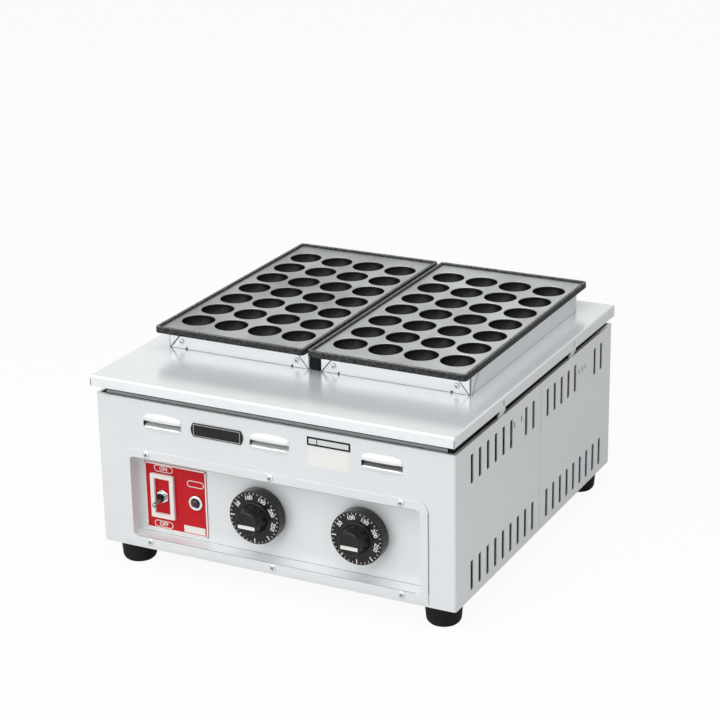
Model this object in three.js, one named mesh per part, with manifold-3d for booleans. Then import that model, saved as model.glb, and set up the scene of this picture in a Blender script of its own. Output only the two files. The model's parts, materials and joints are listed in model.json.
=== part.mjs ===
// An electric countertop maker for octopus balls: two lift-off cast iron plates of hemispherical cups stand
// on welded collars over sheathed heaters, on a stainless cabinet with a dished control panel at the front.
// Units are millimetres, +X to the right, +Y to the back, +Z up. The origin is at the centre of the base.
import * as THREE from "three";
import { mergeVertices } from "three/addons/utils/BufferGeometryUtils.js";
import Module from "manifold-3d";

const wasm = await Module();
wasm.setup();

// Values that many pieces share
const seat = 0.3; // gap between pieces that rest on or against each other
const overrun = 3; // how far a cutting body passes the face that it cuts
const weld = 0.001; // vertices closer than this are one

// Facet counts
const cornerSteps = 1;
const panelCornerSteps = 2;
const cupSides = 10;
const cupRings = 3;
const shellSides = 8;
const shellRings = 2;
const dialSides = 20;
const footSides = 10;
const roundSides = 10;
const screwSides = 6;
const louvreSides = 8;
const louvreRings = 4;

// Cooking plates: the cups set their size, and the plates set the cover's
const cupColumns = 4;
const cupRows = 7;
const cupPitch = 46;
const cupRadius = 20.5;
const cupDepth = 19.5;
const cupWall = 2;
const cupFloor = 4.25;
const webThickness = 5.5;
const rimHeight = 3.2;
const rimWidth = 4.5;
const plateCorner = 5;
const plateSideMargin = 9.5;
const plateEndMargin = 25.75;
const plateSpacing = 4;
const plateLift = 25;

// Top cover
const coverSideMargin = 30;
const coverFrontMargin = 98.25;
const coverBackMargin = 20.25;
const coverSkirt = 15;
const coverSheet = 1.2;
const coverEdgeRadius = 2.5;
const coverRise = 23;
const openingCorner = 6;

// Cabinet of two wrapped sheets
const standHeight = 30;
const bodyHeight = 192;
const bodySideInset = 2;
const bodyFrontInset = 8;
const bodyBackInset = 2;
const shellSheet = 1.2;
const shellBend = 3;
const shellLip = 4;
const seamPlace = 6;
const seamWidth = 0.8;
const stripWidth = 24;
const stripSheet = 1;

// Cooling slots
const slotPitch = 22.24;
const slotsPerHalf = 9;
const slotWidth = 7;
const upperSlotLength = 35;
const upperSlotDrop = 33.5;
const lowerSlotLength = 36;
const lowerSlotRise = 28;
const backSlotCount = 9;
const frontSlotsLeftOut = [3];
const backSlotsLeftOut = [6, 7];
const markWidth = 3;
const markHeight = 7;
const frontMarkDrop = 25;
const backMarkDrop = 29;
const frontMarkShares = [2.65, 3.62];
const backMarkShares = [5.58, 6.07, 6.52];

// Eyelid louvres
const louvrePitch = 143;
const louvreWidth = 54;
const louvreDrop = 33;
const louvreSlotHeight = 6.5;
const louvreHoodHeight = 10;
const louvreHoodReach = 4.5;
const louvreLipHeight = 3.5;
const louvreLipReach = 2.5;

// Base pan and feet
const panSheet = 1.2;
const panRim = 7;
const panCorner = 2;
const ventWidth = 7;
const ventLength = 70;
const ventPitch = 32;
const ventRowPlace = 62;
const ventColumns = [-2, -1, 0, 1, 2];
const footSideInset = 29;
const footFrontInset = 31.3;
const footBackInset = 32.4;
const footRadius = 22.5;
const footToeRadius = 20.5;
const footToeHeight = 6.5;
const footSoleRadius = 16;
const footRecessRadius = 8;
const footRecessDepth = 12;
const boltRadius = 2.5;
const boltHeadRadius = 6;
const boltHeadHeight = 4;
const boltTail = 2;
const nutHeight = 4;
const nutRadius = 5.5;
const nutSides = 6;

// Support deck
const deckDrop = 3;
const deckSheet = 1.2;
const deckFlange = 15;
const lipRise = 7;
const lipSetback = 6;
const lipSideInset = 15;
const wireHoleRadius = 8;
const wireHolePlace = 12;
const capillaryHoleRadius = 6;
const capillaryHolePlace = 19;

// Cover brackets
const bracketWidth = 16.5;
const bracketSheet = 1.6;
const bracketFrontSpacing = 116;
const bracketBackSpacing = 102;
const bracketTail = 14;
const bracketHeadroom = 1.8;
const bracketNotch = 1;
const jogRise = 0.5;
const jogHeight = 3.5;
const keyholeWidth = 3;
const keyholeHeight = 7;
const keyholeRise = 3;

// Collars and the bar between them
const collarSideInset = 5;
const collarEndInset = 24.25;
const collarSheet = 1.2;
const collarFlange = 8;
const collarCorner = 1.5;
const flapSheet = 0.8;
const flapWidth = 20;
const barWidth = 12.6;
const openingSideInset = 10.5;
const openingEndInset = 10;

// Heaters and their trays
const traySideMargin = 7;
const trayEndMargin = 7.5;
const trayRise = 1;
const traySheet = 1;
const trayCorner = 3;
const ridgeShare = 0.3125;
const ridgeThickness = 3;
const heaterRadius = 4;
const heaterHeadroom = 0.8;
const heaterPitch = 42;
const heaterRunPlaceShares = [-1.5, -0.5, 0.5, 1.5];
const heaterRunLengthShare = 0.745;
const heaterTail = 14;
const heaterSteps = 36;
const heaterSides = 6;
const heaterHoleClearance = 0.6;

// Thermostats and their sensors
const thermostatWidth = 38;
const thermostatHeight = 42;
const thermostatDepth = 28;
const bushingRadius = 5;
const bushingReach = 4;
const shaftRadius = 3;
const shaftSeatDepth = 6;
const bulbRadius = 3;
const bulbLength = 90;
const bulbInset = 12;
const capillaryRadius = 1.2;
const capillarySides = 5;
const capillarySteps = 20;
const capillaryRiseShare = 0.45;
const capillaryTurnShare = 0.8;
const capillaryDipShare = 1 / 3;

// Control panel
const panelSideInset = 33.5;
const panelRise = 4;
const panelHeadroom = 64;
const panelCorner = 12;
const panelSheet = 1.2;
const recessSideMargin = 9.5;
const recessEndMargin = 11;
const recessDepth = 19;
const recessCorner = 4;
const recessClearance = 0.5;
const panelScrewInset = 33;
const screwRadius = 1.8;
const screwLength = 8;
const screwHeadRadius = 4.2;
const screwHeadHeight = 2.2;
const screwCrownShare = 0.55;

// Knobs
const leftKnobPlace = -24;
const knobPitch = 133;
const knobLift = 1;
const knobGap = 0.8;
const dialRadius = 33;
const dialDepth = 16;
const dialEdge = 1.2;
const hubBaseRadius = 18;
const hubTopRadius = 14.5;
const hubHeight = 18.7;
const knobRecessRadius = 8;
const knobRecessDepth = 6;
const knobBoreDepth = 17;

// Label plate, switch and pilot lamp
const labelInset = 8;
const labelLift = 5;
const labelHeadroom = 11;
const labelWidth = 85.4;
const labelSheet = 0.8;
const switchInset = 25.8;
const switchLift = 2;
const guardWidth = 32;
const guardHeightShare = 0.656;
const guardBorder = 5.6;
const guardDepth = 4;
const guardCorner = 1;
const toggleBoxWidth = 14;
const toggleBoxHeight = 26;
const toggleBoxDepth = 20;
const toggleBushRadius = 5.8;
const toggleBushReach = 8.5;
const toggleBoreRadius = 4.6;
const toggleNutRadius = 8.5;
const toggleNutHeight = 3;
const togglePivotReach = 2.5;
const leverTilt = THREE.MathUtils.degToRad(12);
const leverBallRadius = 3;
const leverNeckRadius = 1.9;
const leverTipRadius = 3;
const leverCrownShare = 0.5;
const leverLength = 23;
const lampInset = 14.1;
const lampLift = 1.5;
const lampHoleRadius = 6;
const lampBezelRadius = 9.3;
const lampBezelHeight = 3.5;
const lampBezelEdge = 1.2;
const lensRadius = 5.2;
const lensCrownShare = 0.5;
const lensReach = 5;
const lampBodyLength = 26;

// Name badge, bare
const badgePlace = -68.9;
const badgeDrop = 18;
const badgeWidth = 69.4;
const badgeHeight = 17;
const badgeBulge = 3;
const badgeSheet = 1;

// Wiring behind
const blockWidth = 64;
const blockDepth = 22;
const blockHeight = 14;
const blockFinHeight = 8;
const blockFinThickness = 2;
const blockFinPitch = 15;
const blockBackPlace = 34;
const blockFins = [-2, -1, 0, 1, 2];
const inletSideInset = 63;
const inletRise = 32;
const inletRadius = 10;
const inletFlangeRadius = 14;
const inletBoreRadius = 6;
const inletFlangeThickness = 1.5;
const inletReach = 9;

// Plates and cover, worked out from those sizes
const hands = { left: -1, right: 1 };
const plateWidth = cupColumns * cupPitch + 2 * plateSideMargin;
const plateDepth = cupRows * cupPitch + 2 * plateEndMargin;
const plateCentre = (plateWidth + plateSpacing) / 2;
const plateMiddle = (coverFrontMargin - coverBackMargin) / 2;
const coverWidth = 2 * (plateWidth + coverSideMargin) + plateSpacing;
const coverDepth = plateDepth + coverFrontMargin + coverBackMargin;
const coverTop = standHeight + bodyHeight + coverRise;
const coverUnderside = coverTop - coverSheet;
const skirtBottom = coverTop - coverSkirt;
const plateUnderside = coverTop + plateLift;
const plateSurface = plateUnderside + webThickness;
const rimTop = plateSurface + rimHeight;
const cupShellRadius = cupRadius + cupWall;
const cupShellDepth = cupDepth + cupFloor - webThickness;
const collarHalfWidth = plateWidth / 2 - collarSideInset;
const collarHalfDepth = plateDepth / 2 - collarEndInset;
const collarBottom = coverTop + seat;
const collarTop = plateUnderside - seat;
const openingHalfWidth = collarHalfWidth - openingSideInset;
const openingHalfDepth = collarHalfDepth - openingEndInset;

// Cabinet, base and deck
const bodyBottom = standHeight;
const bodyTop = bodyBottom + bodyHeight;
const bodyHalf = coverWidth / 2 - bodySideInset;
const bodyFront = bodyFrontInset - coverDepth / 2;
const bodyBack = coverDepth / 2 - bodyBackInset;
const shellInnerHalf = bodyHalf - shellSheet;
const shellInnerFront = bodyFront + shellSheet;
const shellInnerBack = bodyBack - shellSheet;
const upperSlotMiddle = bodyTop - upperSlotDrop;
const lowerSlotMiddle = bodyBottom + lowerSlotRise;
const louvreSlotBottom = bodyTop - louvreDrop;
const louvreSlotTop = louvreSlotBottom + louvreSlotHeight;
const panTop = bodyBottom + panSheet;
const footTop = bodyBottom - seat;
const deckTop = bodyTop - deckDrop;
const bracketTop = coverUnderside - bracketHeadroom;
const bracketBottom = deckTop - bracketTail;
const jogBottom = bodyTop + jogRise;
const keyholeBottom = skirtBottom + keyholeRise;

// Heaters and trays
const trayHalfWidth = openingHalfWidth + traySideMargin;
const trayHalfDepth = openingHalfDepth + trayEndMargin;
const trayBottom = deckTop + seat;
const trayFloor = trayBottom + traySheet;
const trayFront = plateMiddle - trayHalfDepth;
const trayBack = plateMiddle + trayHalfDepth;
const heaterMiddle = coverUnderside - heaterHeadroom - heaterRadius;
const trayTop = heaterMiddle + trayRise;
const ridgeTop = heaterMiddle - heaterRadius - seat;
const bulbMiddle = ridgeTop + seat + bulbRadius;

// Control panel and what it carries
const panelHalf = bodyHalf - panelSideInset;
const panelBottom = bodyBottom + panelRise;
const panelTop = bodyTop - panelHeadroom;
const recessBottom = panelBottom + recessEndMargin;
const recessTop = panelTop - recessEndMargin;
const recessMiddle = (recessBottom + recessTop) / 2;
const recessHalf = panelHalf - recessSideMargin;
const panelBack = bodyFront - seat;
const panelFace = panelBack - panelSheet;
const recessFloor = panelFace + recessDepth;
const recessBack = recessFloor + panelSheet;
const knobPlaces = { left: leftKnobPlace, right: leftKnobPlace + knobPitch };
const knobHeight = recessMiddle + knobLift;
const knobBack = recessFloor - knobGap;
const knobFront = knobBack - dialDepth - hubHeight;
const labelFace = recessFloor - seat - labelSheet;
const labelLeft = labelInset - recessHalf;
const labelBottom = recessBottom + labelLift;
const labelTop = recessTop - labelHeadroom;
const labelMiddle = (labelBottom + labelTop) / 2;
const guardHeight = (labelTop - labelBottom) * guardHeightShare;
const toggleX = labelLeft + switchInset;
const toggleZ = labelMiddle + switchLift;
const lampX = labelLeft + labelWidth - lampInset;
const lampZ = labelMiddle + lampLift;
const inletX = inletSideInset - bodyHalf;
const inletHeight = bodyBottom + inletRise;
const originShift = (-coverDepth / 2 - knobFront) / 2;

// A closed geometry as a solid that can be joined and cut.
function solid(geometry) {
  const bare = geometry.index ? geometry.toNonIndexed() : geometry;
  bare.deleteAttribute("normal");
  bare.deleteAttribute("uv");
  const merged = mergeVertices(bare, weld);
  return new wasm.Manifold(
    new wasm.Mesh({
      numProp: 3,
      vertProperties: merged.attributes.position.array,
      triVerts: new Uint32Array(merged.index.array),
    }),
  );
}

function geometryOf(made) {
  const mesh = made.getMesh();
  const geometry = new THREE.BufferGeometry();
  geometry.setAttribute("position", new THREE.BufferAttribute(mesh.vertProperties, mesh.numProp));
  geometry.setIndex(new THREE.BufferAttribute(mesh.triVerts, 1));
  const faceted = geometry.toNonIndexed();
  faceted.computeVertexNormals();
  return faceted;
}

function joined(solids) {
  return solids.reduce((all, next) => all.add(next));
}

function cutBy(made, cutters) {
  return cutters.reduce((left, cutter) => left.subtract(cutter), made);
}

function block(x0, x1, y0, y1, z0, z1) {
  const geometry = new THREE.BoxGeometry(x1 - x0, y1 - y0, z1 - z0);
  geometry.translate((x0 + x1) / 2, (y0 + y1) / 2, (z0 + z1) / 2);
  return solid(geometry);
}

// Outlines: u runs to the right, v upwards or to the back
function rectangle(u0, u1, v0, v1, radius = 0) {
  const shape = new THREE.Shape();
  if (radius <= 0) {
    shape.moveTo(u0, v0).lineTo(u1, v0).lineTo(u1, v1).lineTo(u0, v1);
    return shape;
  }
  shape.absarc(u0 + radius, v0 + radius, radius, Math.PI, 1.5 * Math.PI);
  shape.absarc(u1 - radius, v0 + radius, radius, 1.5 * Math.PI, 2 * Math.PI);
  shape.absarc(u1 - radius, v1 - radius, radius, 0, Math.PI / 2);
  shape.absarc(u0 + radius, v1 - radius, radius, Math.PI / 2, Math.PI);
  return shape;
}

function roundTopped(u0, u1, v0, v1, radius) {
  const shape = new THREE.Shape();
  shape.moveTo(u0, v0).lineTo(u1, v0);
  shape.absarc(u1 - radius, v1 - radius, radius, 0, Math.PI / 2);
  shape.absarc(u0 + radius, v1 - radius, radius, Math.PI / 2, Math.PI);
  return shape;
}

function disc(u, v, radius) {
  return new THREE.Shape().absarc(u, v, radius, 0, 2 * Math.PI);
}

function stadium(u, v, width, length) {
  const radius = width / 2;
  const reach = length / 2 - radius;
  const shape = new THREE.Shape();
  shape.absarc(u, v + reach, radius, 0, Math.PI);
  shape.absarc(u, v - reach, radius, Math.PI, 2 * Math.PI);
  return shape;
}

function polygon(points) {
  return new THREE.Shape(points.map(([u, v]) => new THREE.Vector2(u, v)));
}

function extruded(shape, depth, curveSegments) {
  return new THREE.ExtrudeGeometry(shape, { depth, bevelEnabled: false, curveSegments });
}

// An outline in X and Y, raised from one height to another
function slab(shape, z0, z1, curveSegments = cornerSteps) {
  return solid(extruded(shape, z1 - z0, curveSegments).translate(0, 0, z0));
}

// An outline in X and Z, between a front and a back face
function wall(shape, y0, y1, curveSegments = cornerSteps) {
  const geometry = extruded(shape, y1 - y0, curveSegments);
  return solid(geometry.rotateX(Math.PI / 2).translate(0, y1, 0));
}

// An outline in Y and Z, between a left and a right face
function cheek(shape, x0, x1, curveSegments = cornerSteps) {
  const alongX = new THREE.Matrix4().makeBasis(
    new THREE.Vector3(0, 1, 0),
    new THREE.Vector3(0, 0, 1),
    new THREE.Vector3(1, 0, 0),
  );
  const geometry = extruded(shape, x1 - x0, curveSegments);
  return solid(geometry.applyMatrix4(alongX).translate(x0, 0, 0));
}

function lathe(profile, sides) {
  return new THREE.LatheGeometry(profile.map(([r, h]) => new THREE.Vector2(r, h)), sides);
}

// A profile of radius and height, turned about the vertical
function turned(profile, sides) {
  return solid(lathe(profile, sides).rotateX(Math.PI / 2));
}

// A profile of radius and reach, turned about an axis that points to the front
function turnedForward(profile, sides) {
  return solid(lathe(profile, sides).rotateX(Math.PI));
}

function forwardRod(radius, y0, y1, sides) {
  return turnedForward([[0, -y1], [radius, -y1], [radius, -y0], [0, -y0]], sides);
}

function upright(radius, z0, z1, sides) {
  return turned([[0, z0], [radius, z0], [radius, z1], [0, z1]], sides);
}

const appliance = new THREE.Group();
appliance.position.y = originShift;

// Finishes: colour, roughness and metalness
const finishes = {
  cabinetSteel: [0xd3d6d6, 0.42, 0.9],
  coverSteel: [0xdcdedd, 0.3, 0.95],
  collarSteel: [0xe4e5e3, 0.22, 1],
  innerSteel: [0xb9bcbc, 0.5, 0.9],
  zincSteel: [0xa9abaa, 0.45, 0.9],
  castIron: [0x8d8f8e, 0.55, 0.6],
  blackSteel: [0x1d1e20, 0.5, 0.5],
  sheath: [0x5a534c, 0.6, 0.7],
  copper: [0xb06f4a, 0.4, 1],
  blackPlastic: [0x18191b, 0.35, 0],
  rubber: [0x141414, 0.8, 0],
  redLabel: [0xc8232b, 0.45, 0],
  whiteEnamel: [0xefe9e2, 0.4, 0],
  chrome: [0xe8e8e8, 0.12, 1],
  smokedLens: [0x3a1a1a, 0.15, 0],
  ceramic: [0xe9e4d6, 0.6, 0],
};

function place(name, made, finish, position = [0, 0, 0]) {
  const [color, roughness, metalness] = finish;
  const mesh = new THREE.Mesh(
    geometryOf(made),
    new THREE.MeshStandardMaterial({ color, roughness, metalness }),
  );
  mesh.name = name;
  mesh.position.set(...position);
  appliance.add(mesh);
}

// Slots are at whole pitches in front of and behind the seam.
function slotPlaces(direction, leftOut) {
  const steps = Array.from({ length: slotsPerHalf }, (_, i) => i + 1);
  return steps
    .filter((step) => !leftOut.includes(step))
    .map((step) => seamPlace + direction * step * slotPitch);
}

function sideCut(shape) {
  return cheek(shape, -bodyHalf - overrun, bodyHalf + overrun);
}

function slot(place, middle, width, height) {
  return rectangle(
    place - width / 2,
    place + width / 2,
    middle - height / 2,
    middle + height / 2,
  );
}

function sideSlots(direction, leftOut) {
  const upper = slotPlaces(direction, leftOut).map((y) =>
    sideCut(slot(y, upperSlotMiddle, slotWidth, upperSlotLength)),
  );
  const lower = slotPlaces(direction, []).map((y) =>
    sideCut(slot(y, lowerSlotMiddle, slotWidth, lowerSlotLength)),
  );
  return [...upper, ...lower];
}

function sideMarks(direction, shares, height) {
  return shares.map((share) =>
    sideCut(slot(seamPlace + direction * share * slotPitch, height, markWidth, markHeight)),
  );
}

// The closed ring of sheet that both shells are halves of
function shellRing() {
  const outer = slab(
    rectangle(-bodyHalf, bodyHalf, bodyFront, bodyBack, shellBend),
    bodyBottom,
    bodyTop,
  );
  const inside = slab(
    rectangle(
      -shellInnerHalf,
      shellInnerHalf,
      shellInnerFront,
      shellInnerBack,
      shellBend - shellSheet,
    ),
    bodyBottom - overrun,
    bodyTop - shellSheet,
  );
  const mouth = slab(
    rectangle(
      shellLip - bodyHalf,
      bodyHalf - shellLip,
      bodyFront + shellLip,
      bodyBack - shellLip,
    ),
    bodyTop - shellSheet - overrun,
    bodyTop + overrun,
  );
  const notches = bracketNotches(
    bodyHalf - shellLip - overrun,
    shellInnerHalf,
    bodyTop - shellSheet - overrun,
    bodyTop + overrun,
  );
  return cutBy(outer, [inside, mouth, ...notches]);
}

function ellipsoid(halfWidth, reach, height) {
  const geometry = new THREE.SphereGeometry(1, louvreSides, louvreRings);
  return solid(geometry.rotateZ(Math.PI / 2).scale(halfWidth, reach, height));
}

function ellipse(u, v, halfWidth, halfHeight) {
  return new THREE.Shape().absellipse(u, v, halfWidth, halfHeight, 0, 2 * Math.PI);
}

// One pressed lid of a louvre: a quarter ellipsoid of sheet, above (+1) or below (-1) its edge.
function lid(x, edge, height, reach, direction) {
  const half = louvreWidth / 2;
  const skin = ellipsoid(half, reach, height).subtract(
    ellipsoid(half - shellSheet, reach - shellSheet, height - shellSheet),
  );
  const low = Math.min(0, direction * height);
  const high = Math.max(0, direction * height);
  const keep = block(-half, half, -reach, shellSheet, low, high);
  return skin.intersect(keep).translate([x, bodyFront, edge]);
}

function louvreMouth(x) {
  const half = louvreWidth / 2 - shellSheet;
  const through = (shape) =>
    wall(shape, bodyFront - overrun, shellInnerFront + overrun, louvreSides / 2);
  return joined([
    through(ellipse(x, louvreSlotTop, half, louvreHoodHeight - shellSheet)).intersect(
      block(x - half, x + half, bodyFront - overrun, bodyBack, louvreSlotTop, bodyTop),
    ),
    through(rectangle(x - half, x + half, louvreSlotBottom, louvreSlotTop)),
    through(ellipse(x, louvreSlotBottom, half, louvreLipHeight - shellSheet)).intersect(
      block(x - half, x + half, bodyFront - overrun, bodyBack, bodyBottom, louvreSlotBottom),
    ),
  ]);
}

function panelScrewPlaces() {
  const rows = { upper: (recessTop + panelTop) / 2, lower: (panelBottom + recessBottom) / 2 };
  const outer = panelHalf - panelScrewInset;
  const columns = { left: -outer, middle: 0, right: outer };
  return Object.entries(rows).flatMap(([row, z]) =>
    Object.entries(columns).map(([column, x]) => ({ name: `${row}_${column}`, x, z })),
  );
}

function panelScrewHoles() {
  return panelScrewPlaces().map(({ x, z }) =>
    forwardRod(screwRadius + seat, panelFace - overrun, shellInnerFront + overrun, screwSides)
      .translate([x, 0, z]),
  );
}

function frontShell() {
  const behindSeam = block(
    -coverWidth,
    coverWidth,
    seamPlace - seamWidth / 2,
    coverDepth,
    0,
    coverTop,
  );
  const wellHalf = recessHalf + panelSheet + recessClearance;
  const wellEdge = panelSheet + recessClearance;
  const well = wall(
    rectangle(-wellHalf, wellHalf, recessBottom - wellEdge, recessTop + wellEdge, recessCorner),
    bodyFront - overrun,
    shellInnerFront + overrun,
  );
  const places = [-louvrePitch, 0, louvrePitch];
  const pierced = cutBy(shellRing().subtract(behindSeam), [
    ...sideSlots(-1, frontSlotsLeftOut),
    ...sideMarks(-1, frontMarkShares, bodyTop - frontMarkDrop),
    ...places.map(louvreMouth),
    ...panelScrewHoles(),
    well,
  ]);
  return joined([
    pierced,
    ...places.map((x) => lid(x, louvreSlotTop, louvreHoodHeight, louvreHoodReach, 1)),
    ...places.map((x) => lid(x, louvreSlotBottom, louvreLipHeight, louvreLipReach, -1)),
  ]);
}

function rearShell() {
  const beforeSeam = block(
    -coverWidth,
    coverWidth,
    -coverDepth,
    seamPlace + seamWidth / 2,
    0,
    coverTop,
  );
  const backSlots = Array.from({ length: backSlotCount }, (_, i) => {
    const x = (i - (backSlotCount - 1) / 2) * slotPitch;
    const shape = slot(x, upperSlotMiddle, slotWidth, upperSlotLength);
    return wall(shape, shellInnerBack - overrun, bodyBack + overrun);
  });
  const inletHole = forwardRod(
    inletRadius + seat,
    shellInnerBack - overrun,
    bodyBack + overrun,
    roundSides,
  ).translate([inletX, 0, inletHeight]);
  return cutBy(shellRing().subtract(beforeSeam), [
    ...sideSlots(1, backSlotsLeftOut),
    ...sideMarks(1, backMarkShares, bodyTop - backMarkDrop),
    ...backSlots,
    inletHole,
  ]);
}

// The strip behind each side seam that both shells are fixed to
function jointStrip(hand) {
  const outer = hand * (shellInnerHalf - seat);
  const inner = outer - hand * stripSheet;
  return block(
    Math.min(outer, inner),
    Math.max(outer, inner),
    seamPlace - stripWidth / 2,
    seamPlace + stripWidth / 2,
    bodyBottom + panRim + seat,
    deckTop - deckFlange - seat,
  );
}

function footPlaces() {
  return Object.entries(hands).flatMap(([name, hand]) => [
    { name: `front_${name}`, x: hand * (bodyHalf - footSideInset), y: bodyFront + footFrontInset },
    { name: `back_${name}`, x: hand * (bodyHalf - footSideInset), y: bodyBack - footBackInset },
  ]);
}

function basePan() {
  const half = shellInnerHalf - seat;
  const front = shellInnerFront + seat;
  const back = shellInnerBack - seat;
  const tray = slab(
    rectangle(-half, half, front, back, panCorner),
    bodyBottom,
    bodyBottom + panRim,
  ).subtract(
    slab(
      rectangle(
        panSheet - half,
        half - panSheet,
        front + panSheet,
        back - panSheet,
        panCorner - panSheet,
      ),
      panTop,
      bodyBottom + panRim + overrun,
    ),
  );
  const nuts = footPlaces().map(({ x, y }) =>
    upright(nutRadius, bodyBottom, panTop + nutHeight, nutSides).translate([x, y, 0]),
  );
  const holes = footPlaces().map(({ x, y }) =>
    upright(boltRadius + seat, bodyBottom - overrun, panTop + nutHeight + overrun, screwSides)
      .translate([x, y, 0]),
  );
  const vents = ventColumns.flatMap((column) =>
    [-ventRowPlace, ventRowPlace].map((y) =>
      slab(
        stadium(column * ventPitch, y, ventWidth, ventLength),
        bodyBottom - overrun,
        panTop + overrun,
      ),
    ),
  );
  return cutBy(joined([tray, ...nuts]), [...holes, ...vents]);
}

function foot() {
  const holeRadius = boltRadius + seat;
  return turned(
    [
      [holeRadius, footTop],
      [holeRadius, footRecessDepth],
      [footRecessRadius, footRecessDepth],
      [footRecessRadius, 0],
      [footSoleRadius, 0],
      [footToeRadius, footToeHeight],
      [footRadius, footTop],
      [holeRadius, footTop],
    ],
    footSides,
  );
}

function footBolt() {
  const headTop = footRecessDepth - seat;
  return turned(
    [
      [0, headTop - boltHeadHeight],
      [boltHeadRadius, headTop - boltHeadHeight],
      [boltHeadRadius, headTop],
      [boltRadius, headTop],
      [boltRadius, panTop + nutHeight + boltTail],
      [0, panTop + nutHeight + boltTail],
    ],
    screwSides,
  );
}

const bracketRows = {
  front: seamPlace - bracketFrontSpacing,
  back: seamPlace + bracketBackSpacing,
};

function bracketPlaces() {
  return Object.entries(hands).flatMap(([name, hand]) => [
    { name: `front_${name}`, hand, y: bracketRows.front },
    { name: `back_${name}`, hand, y: bracketRows.back },
  ]);
}

// Room for the four brackets, between two distances from the middle
function bracketNotches(inner, outer, bottom, top) {
  const reach = bracketWidth / 2 + bracketNotch;
  return bracketPlaces().map(({ hand, y }) =>
    block(
      Math.min(hand * inner, hand * outer),
      Math.max(hand * inner, hand * outer),
      y - reach,
      y + reach,
      bottom,
      top,
    ),
  );
}

// A keyhole slot passes the cover's skirt and the bracket behind it.
function keyhole(y) {
  const shape = rectangle(
    y - keyholeWidth / 2,
    y + keyholeWidth / 2,
    keyholeBottom,
    keyholeBottom + keyholeHeight,
  );
  return cheek(shape, -coverWidth / 2 - overrun, coverWidth / 2 + overrun);
}

// A stepped strip: inside the cabinet's side below, inside the cover's skirt above
function coverBracket(hand, y) {
  const lowOuter = shellInnerHalf - seat;
  const highOuter = coverWidth / 2 - coverSheet - seat;
  const outline = polygon([
    [lowOuter - bracketSheet, bracketBottom],
    [lowOuter, bracketBottom],
    [lowOuter, jogBottom],
    [highOuter, jogBottom + jogHeight],
    [highOuter, bracketTop],
    [highOuter - bracketSheet, bracketTop],
    [highOuter - bracketSheet, jogBottom + jogHeight + bracketSheet],
    [lowOuter - bracketSheet, jogBottom + bracketSheet],
  ]);
  const strip = wall(outline, y - bracketWidth / 2, y + bracketWidth / 2).subtract(keyhole(y));
  return hand < 0 ? strip.mirror([1, 0, 0]) : strip;
}

function supportFrame() {
  const half = shellInnerHalf - seat;
  const front = shellInnerFront + seat;
  const back = shellInnerBack - seat;
  const deck = slab(
    rectangle(-half, half, front, back, shellBend),
    deckTop - deckFlange,
    deckTop,
  ).subtract(
    slab(
      rectangle(
        deckSheet - half,
        half - deckSheet,
        front + deckSheet,
        back - deckSheet,
        shellBend - deckSheet,
      ),
      deckTop - deckFlange - overrun,
      deckTop - deckSheet,
    ),
  );
  const lipHalf = bodyHalf - lipSideInset;
  const lip = (y0, y1) =>
    block(-lipHalf, lipHalf, y0, y1, deckTop - deckSheet, deckTop + lipRise);
  const frontLip = bodyFront + lipSetback;
  const backLip = bodyBack - lipSetback;
  const lips = [lip(frontLip, frontLip + deckSheet), lip(backLip - deckSheet, backLip)];
  const notches = bracketNotches(
    half - bracketSheet - bracketNotch,
    half + overrun,
    deckTop - deckFlange - overrun,
    deckTop + overrun,
  );
  const holes = Object.values(hands).flatMap((hand) => {
    const x = hand * plateCentre;
    const pierce = (radius) =>
      upright(radius, deckTop - deckSheet - overrun, deckTop + overrun, roundSides);
    return [
      pierce(capillaryHoleRadius).translate([x, trayFront - capillaryHolePlace, 0]),
      pierce(wireHoleRadius).translate([x, trayBack + wireHolePlace, 0]),
    ];
  });
  return cutBy(joined([deck, ...lips]), [...notches, ...holes]);
}

function topCover() {
  const hollowed = (inset, bottom) => {
    const halfX = coverWidth / 2 - inset;
    const halfY = coverDepth / 2 - inset;
    const top = coverTop - inset;
    const radius = coverEdgeRadius - inset;
    return wall(roundTopped(-halfX, halfX, bottom, top, radius), -halfY, halfY).intersect(
      cheek(roundTopped(-halfY, halfY, bottom, top, radius), -halfX, halfX),
    );
  };
  const openings = Object.values(hands).map((hand) =>
    slab(
      rectangle(
        hand * plateCentre - openingHalfWidth,
        hand * plateCentre + openingHalfWidth,
        plateMiddle - openingHalfDepth,
        plateMiddle + openingHalfDepth,
        openingCorner,
      ),
      coverUnderside - overrun,
      coverTop + overrun,
    ),
  );
  const keyholes = Object.values(bracketRows).map(keyhole);
  return cutBy(hollowed(0, skirtBottom), [
    hollowed(coverSheet, skirtBottom - overrun),
    ...openings,
    ...keyholes,
  ]);
}

// A folded flap at a collar's corner: a triangle that stands on the corner of the base.
function flap(direction) {
  const height = collarTop - collarBottom;
  return polygon(
    direction > 0
      ? [[0, 0], [flapWidth, height], [0, height]]
      : [[0, 0], [0, height], [-flapWidth, height]],
  );
}

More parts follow.
